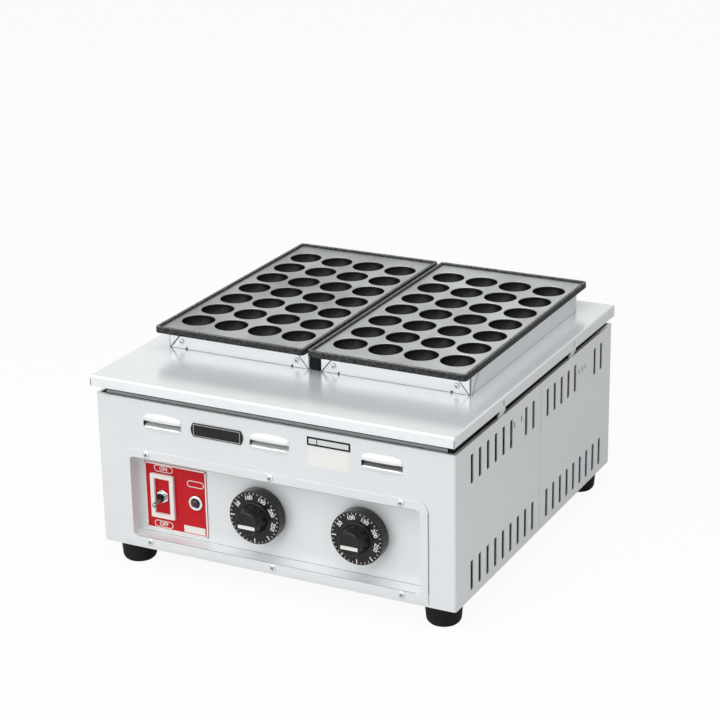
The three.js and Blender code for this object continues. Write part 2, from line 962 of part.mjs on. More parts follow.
function collar(hand) {
  const ring = (inset, bottom, top) =>
    slab(
      rectangle(
        inset - collarHalfWidth,
        collarHalfWidth - inset,
        inset - collarHalfDepth,
        collarHalfDepth - inset,
        Math.max(collarCorner - inset, 0),
      ),
      bottom,
      top,
    );
  const walls = ring(0, collarBottom, collarTop)
    .subtract(ring(collarSheet, collarBottom + collarSheet, collarTop + overrun))
    .subtract(ring(collarSheet + collarFlange, collarBottom - overrun, collarTop + overrun));
  const face = collarHalfDepth - collarCorner;
  const corner = collarHalfWidth - collarCorner;
  const frontFlaps = [1, -1].map((direction) =>
    wall(flap(direction), -collarHalfDepth - flapSheet, -collarHalfDepth + collarSheet / 2)
      .translate([-direction * corner, 0, collarBottom]),
  );
  const backFlaps = [1, -1].map((direction) =>
    wall(flap(direction), collarHalfDepth - collarSheet / 2, collarHalfDepth + flapSheet)
      .translate([-direction * corner, 0, collarBottom]),
  );
  const outer = hand * (collarHalfWidth + flapSheet);
  const buried = hand * (collarHalfWidth - collarSheet / 2);
  const sideFlaps = [1, -1].map((direction) =>
    cheek(flap(direction), Math.min(outer, buried), Math.max(outer, buried))
      .translate([0, -direction * face, collarBottom]),
  );
  return joined([walls, ...frontFlaps, ...backFlaps, ...sideFlaps]);
}

function centreBar() {
  return block(
    -barWidth / 2,
    barWidth / 2,
    plateMiddle - collarHalfDepth,
    plateMiddle + collarHalfDepth,
    collarBottom,
    collarTop,
  );
}

// Points of a bowl's profile from its lowest point up to its rim
function bowl(radius, depth, top, rings) {
  return Array.from({ length: rings + 1 }, (_, i) => {
    const angle = ((i / rings) * Math.PI) / 2;
    return [radius * Math.sin(angle), top - depth * Math.cos(angle)];
  });
}

function cupPlaces() {
  const columns = Array.from({ length: cupColumns }, (_, i) => (i - (cupColumns - 1) / 2) * cupPitch);
  const rows = Array.from({ length: cupRows }, (_, i) => (i - (cupRows - 1) / 2) * cupPitch);
  return columns.flatMap((x) => rows.map((y) => [x, y, 0]));
}

function cookingPlate() {
  const halfX = plateWidth / 2;
  const halfY = plateDepth / 2;
  const casting = slab(rectangle(-halfX, halfX, -halfY, halfY, plateCorner), plateUnderside, rimTop);
  const tray = slab(
    rectangle(
      rimWidth - halfX,
      halfX - rimWidth,
      rimWidth - halfY,
      halfY - rimWidth,
      plateCorner - rimWidth,
    ),
    plateSurface,
    rimTop + overrun,
  );
  const shell = turned(
    [
      ...bowl(cupShellRadius, cupShellDepth, plateUnderside, shellRings),
      [cupShellRadius, plateSurface],
      [0, plateSurface],
    ],
    shellSides,
  );
  const cavity = turned(
    [...bowl(cupRadius, cupDepth, plateSurface, cupRings), [cupRadius, rimTop], [0, rimTop]],
    cupSides,
  );
  const shells = cupPlaces().map((spot) => shell.translate(spot));
  const cavities = cupPlaces().map((spot) => cavity.translate(spot));
  return cutBy(joined([casting, ...shells]), [tray, ...cavities]);
}

function heaterTray() {
  const halfX = trayHalfWidth;
  const halfY = trayHalfDepth;
  const outer = slab(rectangle(-halfX, halfX, -halfY, halfY, trayCorner), trayBottom, trayTop);
  const inner = slab(
    rectangle(
      traySheet - halfX,
      halfX - traySheet,
      traySheet - halfY,
      halfY - traySheet,
      trayCorner - traySheet,
    ),
    trayFloor,
    trayTop + overrun,
  );
  const ridges = [-2 * ridgeShare * halfY, 0, 2 * ridgeShare * halfY].map((y) =>
    block(
      traySheet / 2 - halfX,
      halfX - traySheet / 2,
      y - ridgeThickness / 2,
      y + ridgeThickness / 2,
      trayBottom,
      ridgeTop,
    ),
  );
  const pierce = (radius, x, y, z) =>
    forwardRod(radius, y - overrun, y + overrun, roundSides).translate([x, 0, z]);
  const heaterHole = heaterRadius + heaterHoleClearance;
  const ends = [heaterRunPlaceShares.at(0), heaterRunPlaceShares.at(-1)];
  return cutBy(joined([outer.subtract(inner), ...ridges]), [
    ...ends.map((share) => pierce(heaterHole, share * heaterPitch, halfY, heaterMiddle)),
    pierce(bulbRadius + seat, 0, -halfY, bulbMiddle),
  ]);
}

class Bend extends THREE.Curve {
  constructor(x, y, radius, direction) {
    super();
    Object.assign(this, { x, y, radius, direction });
  }

  getPoint(t, target = new THREE.Vector3()) {
    const angle = Math.PI * (1 - t);
    return target.set(
      this.x + this.radius * Math.cos(angle),
      this.y + this.direction * this.radius * Math.sin(angle),
      heaterMiddle,
    );
  }
}

// Four runs joined by three bends, with both ends out at the back
function heater() {
  const run = trayHalfDepth * heaterRunLengthShare;
  const end = trayHalfDepth + heaterTail;
  const runs = heaterRunPlaceShares.map((share) => share * heaterPitch);
  const at = (x, y) => new THREE.Vector3(x, y, heaterMiddle);
  const path = new THREE.CurvePath();
  path.add(new THREE.LineCurve3(at(runs[0], end), at(runs[0], -run)));
  path.add(new Bend((runs[0] + runs[1]) / 2, -run, heaterPitch / 2, -1));
  path.add(new THREE.LineCurve3(at(runs[1], -run), at(runs[1], run)));
  path.add(new Bend((runs[1] + runs[2]) / 2, run, heaterPitch / 2, 1));
  path.add(new THREE.LineCurve3(at(runs[2], run), at(runs[2], -run)));
  path.add(new Bend((runs[2] + runs[3]) / 2, -run, heaterPitch / 2, -1));
  path.add(new THREE.LineCurve3(at(runs[3], -run), at(runs[3], end)));
  return solid(
    new THREE.ExtrudeGeometry(disc(0, 0, heaterRadius), {
      steps: heaterSteps,
      curveSegments: heaterSides / 2,
      extrudePath: path,
    }),
  );
}

function thermostat() {
  const front = recessBack + seat;
  const back = front + thermostatDepth;
  const box = block(
    -thermostatWidth / 2,
    thermostatWidth / 2,
    front,
    back,
    -thermostatHeight / 2,
    thermostatHeight / 2,
  );
  const bushing = forwardRod(bushingRadius, recessBack - bushingReach, back, roundSides);
  const bore = forwardRod(
    shaftRadius + seat,
    recessBack - bushingReach - overrun,
    front + shaftSeatDepth,
    roundSides,
  );
  return box.add(bushing).subtract(bore);
}

// The bulb lies on the tray's ridge and its capillary comes up from the thermostat.
function sensor(knobX, plateX) {
  const top = knobHeight + thermostatHeight / 2 + seat;
  const y = recessBack + seat + thermostatDepth / 2;
  const holeY = trayFront - capillaryHolePlace;
  const bulbFront = trayFront + bulbInset;
  const level = (share) => THREE.MathUtils.lerp(top, deckTop, share);
  const dip = (from, to) => THREE.MathUtils.lerp(from, to, capillaryDipShare);
  const path = new THREE.CatmullRomCurve3([
    new THREE.Vector3(knobX, y, top),
    new THREE.Vector3(knobX, y, level(capillaryRiseShare)),
    new THREE.Vector3(plateX, holeY, level(capillaryTurnShare)),
    new THREE.Vector3(plateX, holeY, deckTop),
    new THREE.Vector3(plateX, dip(holeY, trayFront), dip(bulbMiddle, deckTop)),
    new THREE.Vector3(plateX, trayFront, bulbMiddle),
    new THREE.Vector3(plateX, bulbFront + bulbRadius, bulbMiddle),
  ]);
  const capillary = solid(
    new THREE.ExtrudeGeometry(disc(0, 0, capillaryRadius), {
      steps: capillarySteps,
      curveSegments: capillarySides / 2,
      extrudePath: path,
    }),
  );
  const bulb = forwardRod(bulbRadius, bulbFront, bulbFront + bulbLength, roundSides)
    .translate([plateX, 0, bulbMiddle]);
  return capillary.add(bulb);
}

function controlPanel() {
  const half = panelHalf;
  const tubHalf = recessHalf + panelSheet;
  const flange = wall(
    roundTopped(-half, half, panelBottom, panelTop, panelCorner),
    panelFace,
    panelBack,
    panelCornerSteps,
  );
  const tub = wall(
    rectangle(
      -tubHalf,
      tubHalf,
      recessBottom - panelSheet,
      recessTop + panelSheet,
      recessCorner + panelSheet,
    ),
    panelFace,
    recessBack,
  );
  const dish = wall(
    rectangle(-recessHalf, recessHalf, recessBottom, recessTop, recessCorner),
    panelFace - overrun,
    recessFloor,
  );
  const pierce = (radius, x, z) =>
    forwardRod(radius, recessFloor - overrun, recessBack + overrun, roundSides).translate([x, 0, z]);
  return cutBy(flange.add(tub), [
    dish,
    ...Object.values(knobPlaces).map((x) => pierce(bushingRadius + seat, x, knobHeight)),
    pierce(toggleBushRadius + seat, toggleX, toggleZ),
    pierce(lampHoleRadius + seat, lampX, lampZ),
    ...panelScrewHoles(),
  ]);
}

function panelScrew() {
  const headBack = -panelFace + seat;
  return turnedForward(
    [
      [0, headBack - screwLength],
      [screwRadius, headBack - screwLength],
      [screwRadius, headBack],
      [screwHeadRadius, headBack],
      [screwHeadRadius * screwCrownShare, headBack + screwHeadHeight],
      [0, headBack + screwHeadHeight],
    ],
    screwSides,
  );
}

function knob() {
  const bore = shaftRadius + seat;
  return turnedForward(
    [
      [0, knobBoreDepth],
      [bore, knobBoreDepth],
      [bore, knobRecessDepth],
      [knobRecessRadius, knobRecessDepth],
      [knobRecessRadius, 0],
      [dialRadius - dialEdge, 0],
      [dialRadius, dialEdge],
      [dialRadius, dialDepth - dialEdge],
      [dialRadius - dialEdge, dialDepth],
      [hubBaseRadius, dialDepth],
      [hubTopRadius, dialDepth + hubHeight - dialEdge],
      [hubTopRadius - dialEdge, dialDepth + hubHeight],
      [0, dialDepth + hubHeight],
    ],
    dialSides,
  );
}

function knobShaft() {
  const back = recessBack + shaftSeatDepth;
  const front = knobBack - knobBoreDepth + seat;
  return forwardRod(shaftRadius, front, back, roundSides);
}

function labelPlate() {
  const sheet = wall(
    rectangle(labelLeft, labelLeft + labelWidth, labelBottom, labelTop),
    labelFace,
    labelFace + labelSheet,
  );
  const pierce = (radius, x, z) =>
    forwardRod(radius, labelFace - overrun, recessFloor, roundSides).translate([x, 0, z]);
  return cutBy(sheet, [
    pierce(toggleBushRadius + seat, toggleX, toggleZ),
    pierce(lampHoleRadius + seat, lampX, lampZ),
  ]);
}

function switchGuard() {
  const frame = (inset, radius) =>
    rectangle(
      toggleX - guardWidth / 2 + inset,
      toggleX + guardWidth / 2 - inset,
      toggleZ - guardHeight / 2 + inset,
      toggleZ + guardHeight / 2 - inset,
      radius,
    );
  const back = labelFace - seat;
  return wall(frame(0, guardCorner), back - guardDepth, back).subtract(
    wall(frame(guardBorder, 0), back - guardDepth - overrun, back + overrun),
  );
}

function toggleBody() {
  const front = recessBack + seat;
  const box = block(
    -toggleBoxWidth / 2,
    toggleBoxWidth / 2,
    front,
    front + toggleBoxDepth,
    -toggleBoxHeight / 2,
    toggleBoxHeight / 2,
  );
  const mouth = recessFloor - toggleBushReach;
  const bush = forwardRod(toggleBushRadius, mouth, front + seat, roundSides);
  const bore = forwardRod(
    toggleBoreRadius,
    mouth - overrun,
    recessFloor - togglePivotReach + leverBallRadius + seat,
    roundSides,
  );
  return box.add(bush).subtract(bore);
}

function toggleNut() {
  const back = labelFace - seat;
  return forwardRod(toggleNutRadius, back - toggleNutHeight, back, nutSides).subtract(
    forwardRod(toggleBushRadius + seat, back - toggleNutHeight - overrun, back + overrun, roundSides),
  );
}

// A bat handle on its pivot ball, leaning down to the off side
function toggleLever() {
  const made = turnedForward(
    [
      [0, -leverBallRadius],
      [leverBallRadius, 0],
      [leverNeckRadius, leverBallRadius],
      [leverTipRadius, leverLength - leverTipRadius],
      [leverTipRadius * leverCrownShare, leverLength],
      [0, leverLength],
    ],
    roundSides,
  );
  return made.rotate([THREE.MathUtils.radToDeg(leverTilt), 0, 0]);
}

function lampBezel() {
  const back = seat - labelFace;
  const bore = lensRadius + seat;
  return turnedForward(
    [
      [bore, back],
      [lampBezelRadius, back],
      [lampBezelRadius, back + lampBezelHeight - lampBezelEdge],
      [lampBezelRadius - lampBezelEdge, back + lampBezelHeight],
      [bore, back + lampBezelHeight],
      [bore, back],
    ],
    roundSides,
  );
}

function lampLens() {
  const back = -labelFace;
  const crown = bowl(lensRadius, lensRadius * lensCrownShare, 0, cupRings)
    .reverse()
    .map(([r, h]) => [r, back + lensReach - h]);
  return turnedForward([[0, back], [lensRadius, back], ...crown], roundSides);
}

function lampBody() {
  const front = labelFace + seat;
  return forwardRod(lampHoleRadius, front, front + lampBodyLength, roundSides);
}

function badge() {
  const left = badgePlace - badgeWidth / 2;
  const right = badgePlace + badgeWidth / 2;
  const top = bodyTop - badgeDrop;
  const bottom = top - badgeHeight;
  const middle = top - badgeHeight / 2;
  const shape = new THREE.Shape();
  shape.moveTo(left + badgeBulge, bottom);
  shape.lineTo(right - badgeBulge, bottom);
  shape.quadraticCurveTo(right + badgeBulge, middle, right - badgeBulge, top);
  shape.lineTo(left + badgeBulge, top);
  shape.quadraticCurveTo(left - badgeBulge, middle, left + badgeBulge, bottom);
  const back = bodyFront - seat;
  return wall(shape, back - badgeSheet, back, roundSides / 2);
}

function terminalBlock() {
  const bottom = panTop + seat;
  const back = shellInnerBack - blockBackPlace;
  const base = block(
    -blockWidth / 2,
    blockWidth / 2,
    back - blockDepth,
    back,
    bottom,
    bottom + blockHeight,
  );
  const fins = blockFins.map((step) =>
    block(
      step * blockFinPitch - blockFinThickness / 2,
      step * blockFinPitch + blockFinThickness / 2,
      back - blockDepth,
      back,
      bottom,
      bottom + blockHeight + blockFinHeight,
    ),
  );
  return joined([base, ...fins]);
}

function inletBushing() {
  const face = -bodyBack - seat;
  return turnedForward(
    [
      [inletBoreRadius, face - inletFlangeThickness],
      [inletFlangeRadius, face - inletFlangeThickness],
      [inletFlangeRadius, face],
      [inletRadius, face],
      [inletRadius, face + inletReach],
      [inletBoreRadius, face + inletReach],
      [inletBoreRadius, face - inletFlangeThickness],
    ],
    roundSides,
  );
}

place("base_pan", basePan(), finishes.innerSteel);
place("front_shell", frontShell(), finishes.cabinetSteel);
place("rear_shell", rearShell(), finishes.cabinetSteel);
place("support_frame", supportFrame(), finishes.innerSteel);
place("top_cover", topCover(), finishes.coverSteel);
place("centre_divider", centreBar(), finishes.blackSteel);
for (const { name, x, y } of footPlaces()) {
  place(`foot_${name}`, foot(), finishes.rubber, [x, y, 0]);
  place(`foot_bolt_${name}`, footBolt(), finishes.zincSteel, [x, y, 0]);
}
for (const { name, hand, y } of bracketPlaces()) {
  place(`cover_bracket_${name}`, coverBracket(hand, y), finishes.collarSteel);
}
for (const [name, hand] of Object.entries(hands)) {
  const spot = [hand * plateCentre, plateMiddle, 0];
  place(`side_joint_strip_${name}`, jointStrip(hand), finishes.innerSteel);
  place(`heater_tray_${name}`, heaterTray(), finishes.innerSteel, spot);
  place(`heater_${name}`, heater(), finishes.sheath, spot);
  place(`collar_${name}`, collar(hand), finishes.collarSteel, spot);
  place(`cooking_plate_${name}`, cookingPlate(), finishes.castIron, spot);
  const x = knobPlaces[name];
  place(`thermostat_${name}`, thermostat(), finishes.ceramic, [x, 0, knobHeight]);
  place(`sensor_${name}`, sensor(x, hand * plateCentre), finishes.copper);
  place(`knob_shaft_${name}`, knobShaft(), finishes.zincSteel, [x, 0, knobHeight]);
  place(`knob_${name}`, knob(), finishes.blackPlastic, [x, knobBack, knobHeight]);
}
place("control_panel", controlPanel(), finishes.cabinetSteel);
for (const { name, x, z } of panelScrewPlaces()) {
  place(`panel_screw_${name}`, panelScrew(), finishes.zincSteel, [x, 0, z]);
}
place("label_plate", labelPlate(), finishes.redLabel);
place("switch_guard", switchGuard(), finishes.whiteEnamel);
place("toggle_body", toggleBody(), finishes.blackPlastic, [toggleX, 0, toggleZ]);
place("toggle_nut", toggleNut(), finishes.chrome, [toggleX, 0, toggleZ]);
place("toggle_lever", toggleLever(), finishes.chrome, [
  toggleX,
  recessFloor - togglePivotReach,
  toggleZ,
]);
place("lamp_bezel", lampBezel(), finishes.chrome, [lampX, 0, lampZ]);
place("lamp_lens", lampLens(), finishes.smokedLens, [lampX, 0, lampZ]);
place("lamp_body", lampBody(), finishes.blackPlastic, [lampX, 0, lampZ]);
place("badge_plate", badge(), finishes.blackPlastic);
place("terminal_block", terminalBlock(), finishes.ceramic);
place("inlet_bushing", inletBushing(), finishes.rubber, [inletX, 0, inletHeight]);

export default appliance;
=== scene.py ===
import json
import math

import bmesh
import bpy
from mathutils import Euler, Matrix, Vector


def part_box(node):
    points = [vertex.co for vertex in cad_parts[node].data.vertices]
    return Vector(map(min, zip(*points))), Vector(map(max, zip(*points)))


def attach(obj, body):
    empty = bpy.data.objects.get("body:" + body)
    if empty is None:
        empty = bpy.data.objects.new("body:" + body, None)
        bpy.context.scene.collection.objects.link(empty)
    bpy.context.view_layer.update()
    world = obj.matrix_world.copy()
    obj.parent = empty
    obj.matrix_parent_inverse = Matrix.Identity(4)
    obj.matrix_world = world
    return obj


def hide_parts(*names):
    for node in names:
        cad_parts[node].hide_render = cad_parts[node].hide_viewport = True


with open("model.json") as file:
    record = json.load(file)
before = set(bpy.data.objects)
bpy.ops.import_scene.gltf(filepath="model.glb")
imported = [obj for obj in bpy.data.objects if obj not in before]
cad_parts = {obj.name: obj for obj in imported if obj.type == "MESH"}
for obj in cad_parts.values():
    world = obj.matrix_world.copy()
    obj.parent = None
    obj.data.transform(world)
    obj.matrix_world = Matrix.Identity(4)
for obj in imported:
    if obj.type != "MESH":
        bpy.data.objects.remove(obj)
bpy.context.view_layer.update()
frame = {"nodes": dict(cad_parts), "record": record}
nodes = frame["nodes"]
MM = 0.001
WELD = 0.000002  # metres: corners closer than this are one
SIDES = {"left": -1, "right": 1}

# Sizes that several sections use
SEAT = 0.3  # gap between pieces that rest on each other
PLATE_RIM_HEIGHT = 3.2
WEB = 5.5
PRINT_SINK = 0.02  # how far print starts behind its face
PRINT_DEPTH = 0.06


# Shader values as Python expressions


class Wire:
    """A socket's value, on which sums can be written."""

    def __init__(self, nodes, socket):
        self.nodes = nodes
        self.socket = socket

    def math(self, operation, *values):
        inputs = dict(enumerate(values))
        return self.nodes.add("ShaderNodeMath", {"operation": operation}, inputs)

    def __add__(self, other):
        return self.math("ADD", self, other)

    def __radd__(self, other):
        return self.math("ADD", other, self)

    def __sub__(self, other):
        return self.math("SUBTRACT", self, other)

    def __rsub__(self, other):
        return self.math("SUBTRACT", other, self)

    def __mul__(self, other):
        return self.math("MULTIPLY", self, other)

    def ramp(self, start, slope):
        """Nought up to start, then rising by the slope until it reaches one."""
        rise = (self - start) * slope
        return self.nodes.add("ShaderNodeClamp", {}, {"Value": rise})


class Nodes:
    """A tree of nodes that is filled through one method."""

    def __init__(self, tree):
        self.tree = tree

    def add(self, kind, settings, inputs, output=0):
        """One node: its settings first, then the values or links of its sockets."""
        node = self.tree.nodes.new(kind)
        for setting, value in settings.items():
            setattr(node, setting, value)
        for key, value in inputs.items():
            self.plug(node.inputs[key], value)
        return Wire(self, node.outputs[output])

    def plug(self, socket, value):
        if isinstance(value, Wire):
            self.tree.links.new(value.socket, socket)
        else:
            socket.default_value = value

    def rays(self, *kinds):
        """One on light paths of the named kinds, and nought on the rest."""
        found = self.add("ShaderNodeLightPath", {}, {}, f"Is {kinds[0]} Ray")
        for kind in kinds[1:]:
            other = self.add("ShaderNodeLightPath", {}, {}, f"Is {kind} Ray")
            found = found.math("MAXIMUM", found, other)
        return found


class Finish(Nodes):
    """A material that is built up from one Principled shader."""

    def __init__(self, name, **fixed):
        self.material = bpy.data.materials.new(name)
        self.material.use_nodes = True
        super().__init__(self.material.node_tree)
        self.shader = self.tree.nodes["Principled BSDF"]
        self.coords = self.add("ShaderNodeTexCoord", {}, {}, "Object")
        for key, value in fixed.items():
            socket = key.replace("_", " ").title().replace("Ior", "IOR")
            self.shader.inputs[socket].default_value = value

    def feed(self, socket, value):
        self.plug(self.shader.inputs[socket], value)

    def axis(self, index):
        return self.add("ShaderNodeSeparateXYZ", {}, {0: self.coords}, index)

    def facing(self, index):
        normal = self.add("ShaderNodeNewGeometry", {}, {}, 1)
        return self.add("ShaderNodeSeparateXYZ", {}, {0: normal}, index)

    def noise(self, scale, detail=3.0, roughness=0.5):
        """Noise with its own number of features per metre along X, Y and Z."""
        stretched = self.add(
            "ShaderNodeMapping",
            {"vector_type": "POINT"},
            {"Vector": self.coords, "Scale": scale},
        )
        return self.add(
            "ShaderNodeTexNoise",
            {"noise_dimensions": "3D"},
            {"Vector": stretched, "Scale": 1.0, "Detail": detail, "Roughness": roughness},
        )

    def blend(self, factor, first, second):
        return self.add(
            "ShaderNodeMix",
            {"data_type": "RGBA"},
            {0: factor, 6: first, 7: second},
            2,
        )

    def bump(self, height, depth, strength=1.0):
        normal = self.add(
            "ShaderNodeBump",
            {},
            {"Height": height, "Distance": depth, "Strength": strength},
        )
        self.feed("Normal", normal)


def shade(value, tint=(1.0, 1.0, 1.0)):
    """A colour: a grey of the given linear value, tinted."""
    return tuple(value * part for part in tint) + (1.0,)


# Finishes

COOL = (0.955, 0.985, 1.0)
WARM = (1.0, 0.985, 0.96)
WHITE = (1.0, 1.0, 1.0, 1.0)
WALL_GRAIN = (7.0, 7.0, 1700.0)
TOP_GRAIN = (7.0, 1500.0, 7.0)
COVER_FLAT_DROP = 0.2  # how far under the cover's top its duller bends begin
DULL_SLOPE = 2000.0
DULL_ROUGHNESS = 0.25
CUP_EDGE_DROP = 0.4  # how far under the plates' flats their dark cups begin
CUP_EDGE_SLOPE = 900.0
WEB_ALLOWANCE = 0.6
WEB_SLOPE = 2500.0


def sheet_steel(name, value, roughness, grain, metallic=0.92, flat=None):
    """Stainless sheet: hairline grain along one way, with faint clouds from rolling and wiping.

    Below the height given by flat, its bends and hanging edges are duller.
    """
    steel = Finish(name, metallic=metallic)
    hairline = steel.noise(grain, 4.0, 0.7)
    clouds = steel.noise((9.0, 9.0, 9.0), 2.0)
    mottle = hairline * 0.6 + clouds * 0.4
    steel.feed("Base Color", steel.blend(mottle, shade(value * 0.95, COOL), shade(value * 1.05, COOL)))
    satin = hairline * 0.06 + clouds * 0.05 + roughness - 0.05
    if flat:
        drop = flat - steel.axis(2)
        satin = satin + drop.ramp(0.0, DULL_SLOPE) * DULL_ROUGHNESS
    steel.feed("Roughness", satin)
    steel.bump(hairline, 0.00002, 0.25)
    return steel.material


def ground_iron():
    """Cast iron plate: ground pale on its flats, with stains and painted light that grows toward +X,
    dark and oily in the cups, and pale grey underneath as painted light.
    """
    iron = Finish("ground_cast_iron", specular_ior_level=0.2)
    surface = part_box("cooking_plate_left")[1].z - PLATE_RIM_HEIGHT * MM
    grinding = iron.noise((1300.0, 45.0, 900.0), 4.0, 0.7)
    casting = iron.noise((420.0, 420.0, 420.0), 4.0, 0.65)
    # Painted light: the stain noise is raised toward +X, so the right plate's flats read lighter.
    stains_and_painted_light = (iron.noise((14.0, 9.0, 14.0), 3.0, 0.6) + iron.axis(0) * 0.9).ramp(0.25, 2.0)
    below = (surface - iron.axis(2)).ramp(CUP_EDGE_DROP * MM, CUP_EDGE_SLOPE)
    web = (iron.axis(2) - surface).ramp(-(WEB + WEB_ALLOWANCE) * MM, WEB_SLOPE)
    downward = (0.0 - iron.facing(2)).ramp(0.75, 4.0)
    ground = iron.blend(grinding * 0.35 + stains_and_painted_light * 0.65, shade(0.26, COOL), shade(0.62, COOL))
    oily = iron.blend(casting, shade(0.004, WARM), shade(0.012, WARM))
    # Painted light: faces that point down are pale grey, which lightens their dark mirror image in the
    # cover.
    painted_light_underside = iron.blend(casting, shade(0.3, COOL), shade(0.45, COOL))
    dark = below * (1.0 - web * downward)
    flats = iron.blend(downward, ground, painted_light_underside)
    iron.feed("Base Color", iron.blend(dark, flats, oily))
    iron.feed("Roughness", 0.44 + grinding * 0.1 - dark * 0.16 + casting * 0.06)
    iron.feed("Metallic", 0.85 - dark * 0.35 - downward * 0.5)
    iron.bump(casting, 0.00015, 0.35)
    return iron.material


def rim_iron():
    """The plates' raised rim: worn grey with painted light along its top, coarser and dark with painted
    shade down its sides, chosen by which way each face points.
    """
    iron = Finish("rim_iron_painted_shade", specular_ior_level=0.3)
    casting = iron.noise((360.0, 360.0, 360.0), 4.0, 0.7).ramp(0.36, 3.6)
    # Painted light and shade: faces that point up are lighter, faces that point sideways darker.
    upward = iron.facing(2).ramp(0.35, 2.0)
    rubbed_lit_top = iron.blend(casting, shade(0.03, COOL), shade(0.26, COOL))
    rough_shaded_sides = iron.blend(casting, shade(0.004, COOL), shade(0.06, COOL))
    iron.feed("Base Color", iron.blend(upward, rough_shaded_sides, rubbed_lit_top))
    iron.feed("Roughness", 0.62 - upward * 0.16 + casting * 0.1)
    iron.feed("Metallic", 0.3 + upward * 0.4)
    iron.bump(casting, 0.0004, 0.5)
    return iron.material


def moulded(name, color, roughness, grain=1400.0, depth=0.00003, gloss=0.5):
    """Moulded plastic or rubber with a fine skin."""
    plastic = Finish(name, specular_ior_level=gloss)
    skin = plastic.noise((grain, grain, grain), 2.0)
    wear = plastic.noise((60.0, 60.0, 60.0), 3.0)
    plastic.feed("Base Color", plastic.blend(wear, shade(0.85, color), shade(1.15, color)))
    plastic.feed("Roughness", roughness - 0.05 + skin * 0.06 + wear * 0.05)
    plastic.bump(skin, depth, 0.3)
    return plastic.material


def plated(name, value, roughness, tint=COOL):
    """Bright plating with a few dull patches."""
    chrome = Finish(name, metallic=1.0)
    patches = chrome.noise((160.0, 160.0, 160.0), 3.0)
    chrome.feed("Base Color", chrome.blend(patches, shade(value * 0.93, tint), shade(value, tint)))
    chrome.feed("Roughness", roughness + patches * 0.08)
    return chrome.material


def printed(name, color, roughness=0.4, gloss=0.5):
    """Screen ink on a label."""
    ink = Finish(name, specular_ior_level=gloss)
    speckle = ink.noise((900.0, 900.0, 900.0), 2.0)
    ink.feed("Base Color", ink.blend(speckle, shade(0.96, color), shade(1.0, color)))
    ink.feed("Roughness", roughness - 0.03 + speckle * 0.06)
    return ink.material


def smoked_glass():
    """The pilot lamp's dark red glass."""
    lens = Finish("smoked_lens", coat_weight=0.4, coat_roughness=0.05, specular_ior_level=0.3)
    depth = lens.noise((260.0, 260.0, 260.0), 2.0)
    lens.feed("Base Color", lens.blend(depth, (0.012, 0.006, 0.006, 1.0), (0.05, 0.015, 0.012, 1.0)))
    lens.feed("Roughness", 0.12 + depth * 0.05)
    return lens.material


COVER_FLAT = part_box("top_cover")[1].z - COVER_FLAT_DROP * MM
finishes = {
    "cabinet_steel": sheet_steel("brushed_cabinet_steel", 0.82, 0.38, WALL_GRAIN, metallic=0.5),
    "cover_steel": sheet_steel(
        "satin_cover_steel", 0.88, 0.2, TOP_GRAIN, metallic=0.4, flat=COVER_FLAT
    ),
    "collar_steel": sheet_steel("bright_collar_steel", 0.74, 0.3, WALL_GRAIN, metallic=0.5),
    "inner_steel": sheet_steel("plain_inner_steel", 0.3, 0.5, TOP_GRAIN),
    "zinc_steel": plated("plated_fastener_steel", 0.74, 0.38),
    "cast_iron": ground_iron(),
    "black_steel": moulded(
        "satin_black_steel", (0.008, 0.008, 0.009), 0.6, grain=900.0, gloss=0.15
    ),
    "sheath": moulded("oxidised_sheath", (0.08, 0.065, 0.05), 0.6, grain=600.0),
    "copper": plated("drawn_copper", 0.8, 0.35, (0.85, 0.5, 0.32)),
    "black_plastic": moulded(
        "black_moulded_plastic", (0.010, 0.010, 0.011), 0.3, grain=1200.0, depth=0.00002, gloss=0.28
    ),
    "rubber": moulded("black_rubber", (0.009, 0.009, 0.010), 0.72, grain=700.0, gloss=0.2),
    "red_label": printed("red_label_ink", (0.56, 0.012, 0.018), gloss=0.15),
    "white_enamel": printed("white_ink", (0.86, 0.82, 0.78), roughness=0.35),
    "chrome": plated("bright_chrome", 0.88, 0.08),
    "smoked_lens": smoked_glass(),
    "ceramic": moulded("pale_insulator", (0.62, 0.58, 0.5), 0.6, grain=500.0),
}

# Finishes of single pieces, in place of their slot's
PANEL_STEEL = sheet_steel("matt_panel_steel", 0.8, 0.46, WALL_GRAIN, metallic=0.4)
# Painted shade: a near-black steel for the support frame, so the gap under the cover reads dark.
FRAME_PAINTED_SHADE_STEEL = sheet_steel("inner_steel_painted_shade", 0.03, 0.6, TOP_GRAIN, metallic=0.2)
# Painted light and shade: lighter and darker copies of one steel, one for the sheet behind each louvre,
# left, middle and right.
SCOOP_PAINTED_LIGHT_STEELS = (
    sheet_steel("louvre_steel_painted_light_left", 0.9, 0.4, WALL_GRAIN, metallic=0.2),
    sheet_steel("louvre_steel_painted_light_middle", 0.9, 0.4, WALL_GRAIN, metallic=0.2),
    sheet_steel("louvre_steel_painted_shade_right", 0.45, 0.4, WALL_GRAIN, metallic=0.5),
)
# Painted reflection: the lever's plating is dark grey, standing in for chrome that mirrors dark
# surroundings.
LEVER_PAINTED_REFLECTION_STEEL = plated("lever_plating_painted_dark_reflection", 0.3, 0.22)
KNOB_PLASTIC = moulded(
    "glossy_knob_plastic", (0.006, 0.006, 0.007), 0.22, grain=1200.0, depth=0.00001, gloss=0.36
)
RIM_IRON_PAINTED_SHADE = rim_iron()
STICKER_PAPER = printed("pale_sticker", (0.87, 0.87, 0.84), roughness=0.5)


# Making pieces

UP = Matrix.Identity(4)
FORWARD = Matrix.Rotation(math.pi / 2, 4, "X")
FRONT = (0.0, -1.0, 0.0)
FLAT_ANGLE = 0.5  # degrees: faces that meet at less than this are one
CROWN_ANGLES = range(15, 90, 15)


def meshed(bm, name):
    """Turns a bmesh into a mesh and frees it."""
    mesh = bpy.data.meshes.new(name)
    bm.to_mesh(mesh)
    bm.free()
    return mesh


def poured(bm, target):
    """Adds a bmesh to another and frees it."""
    mesh = meshed(bm, "loose")
    target.from_mesh(mesh)
    bpy.data.meshes.remove(mesh)


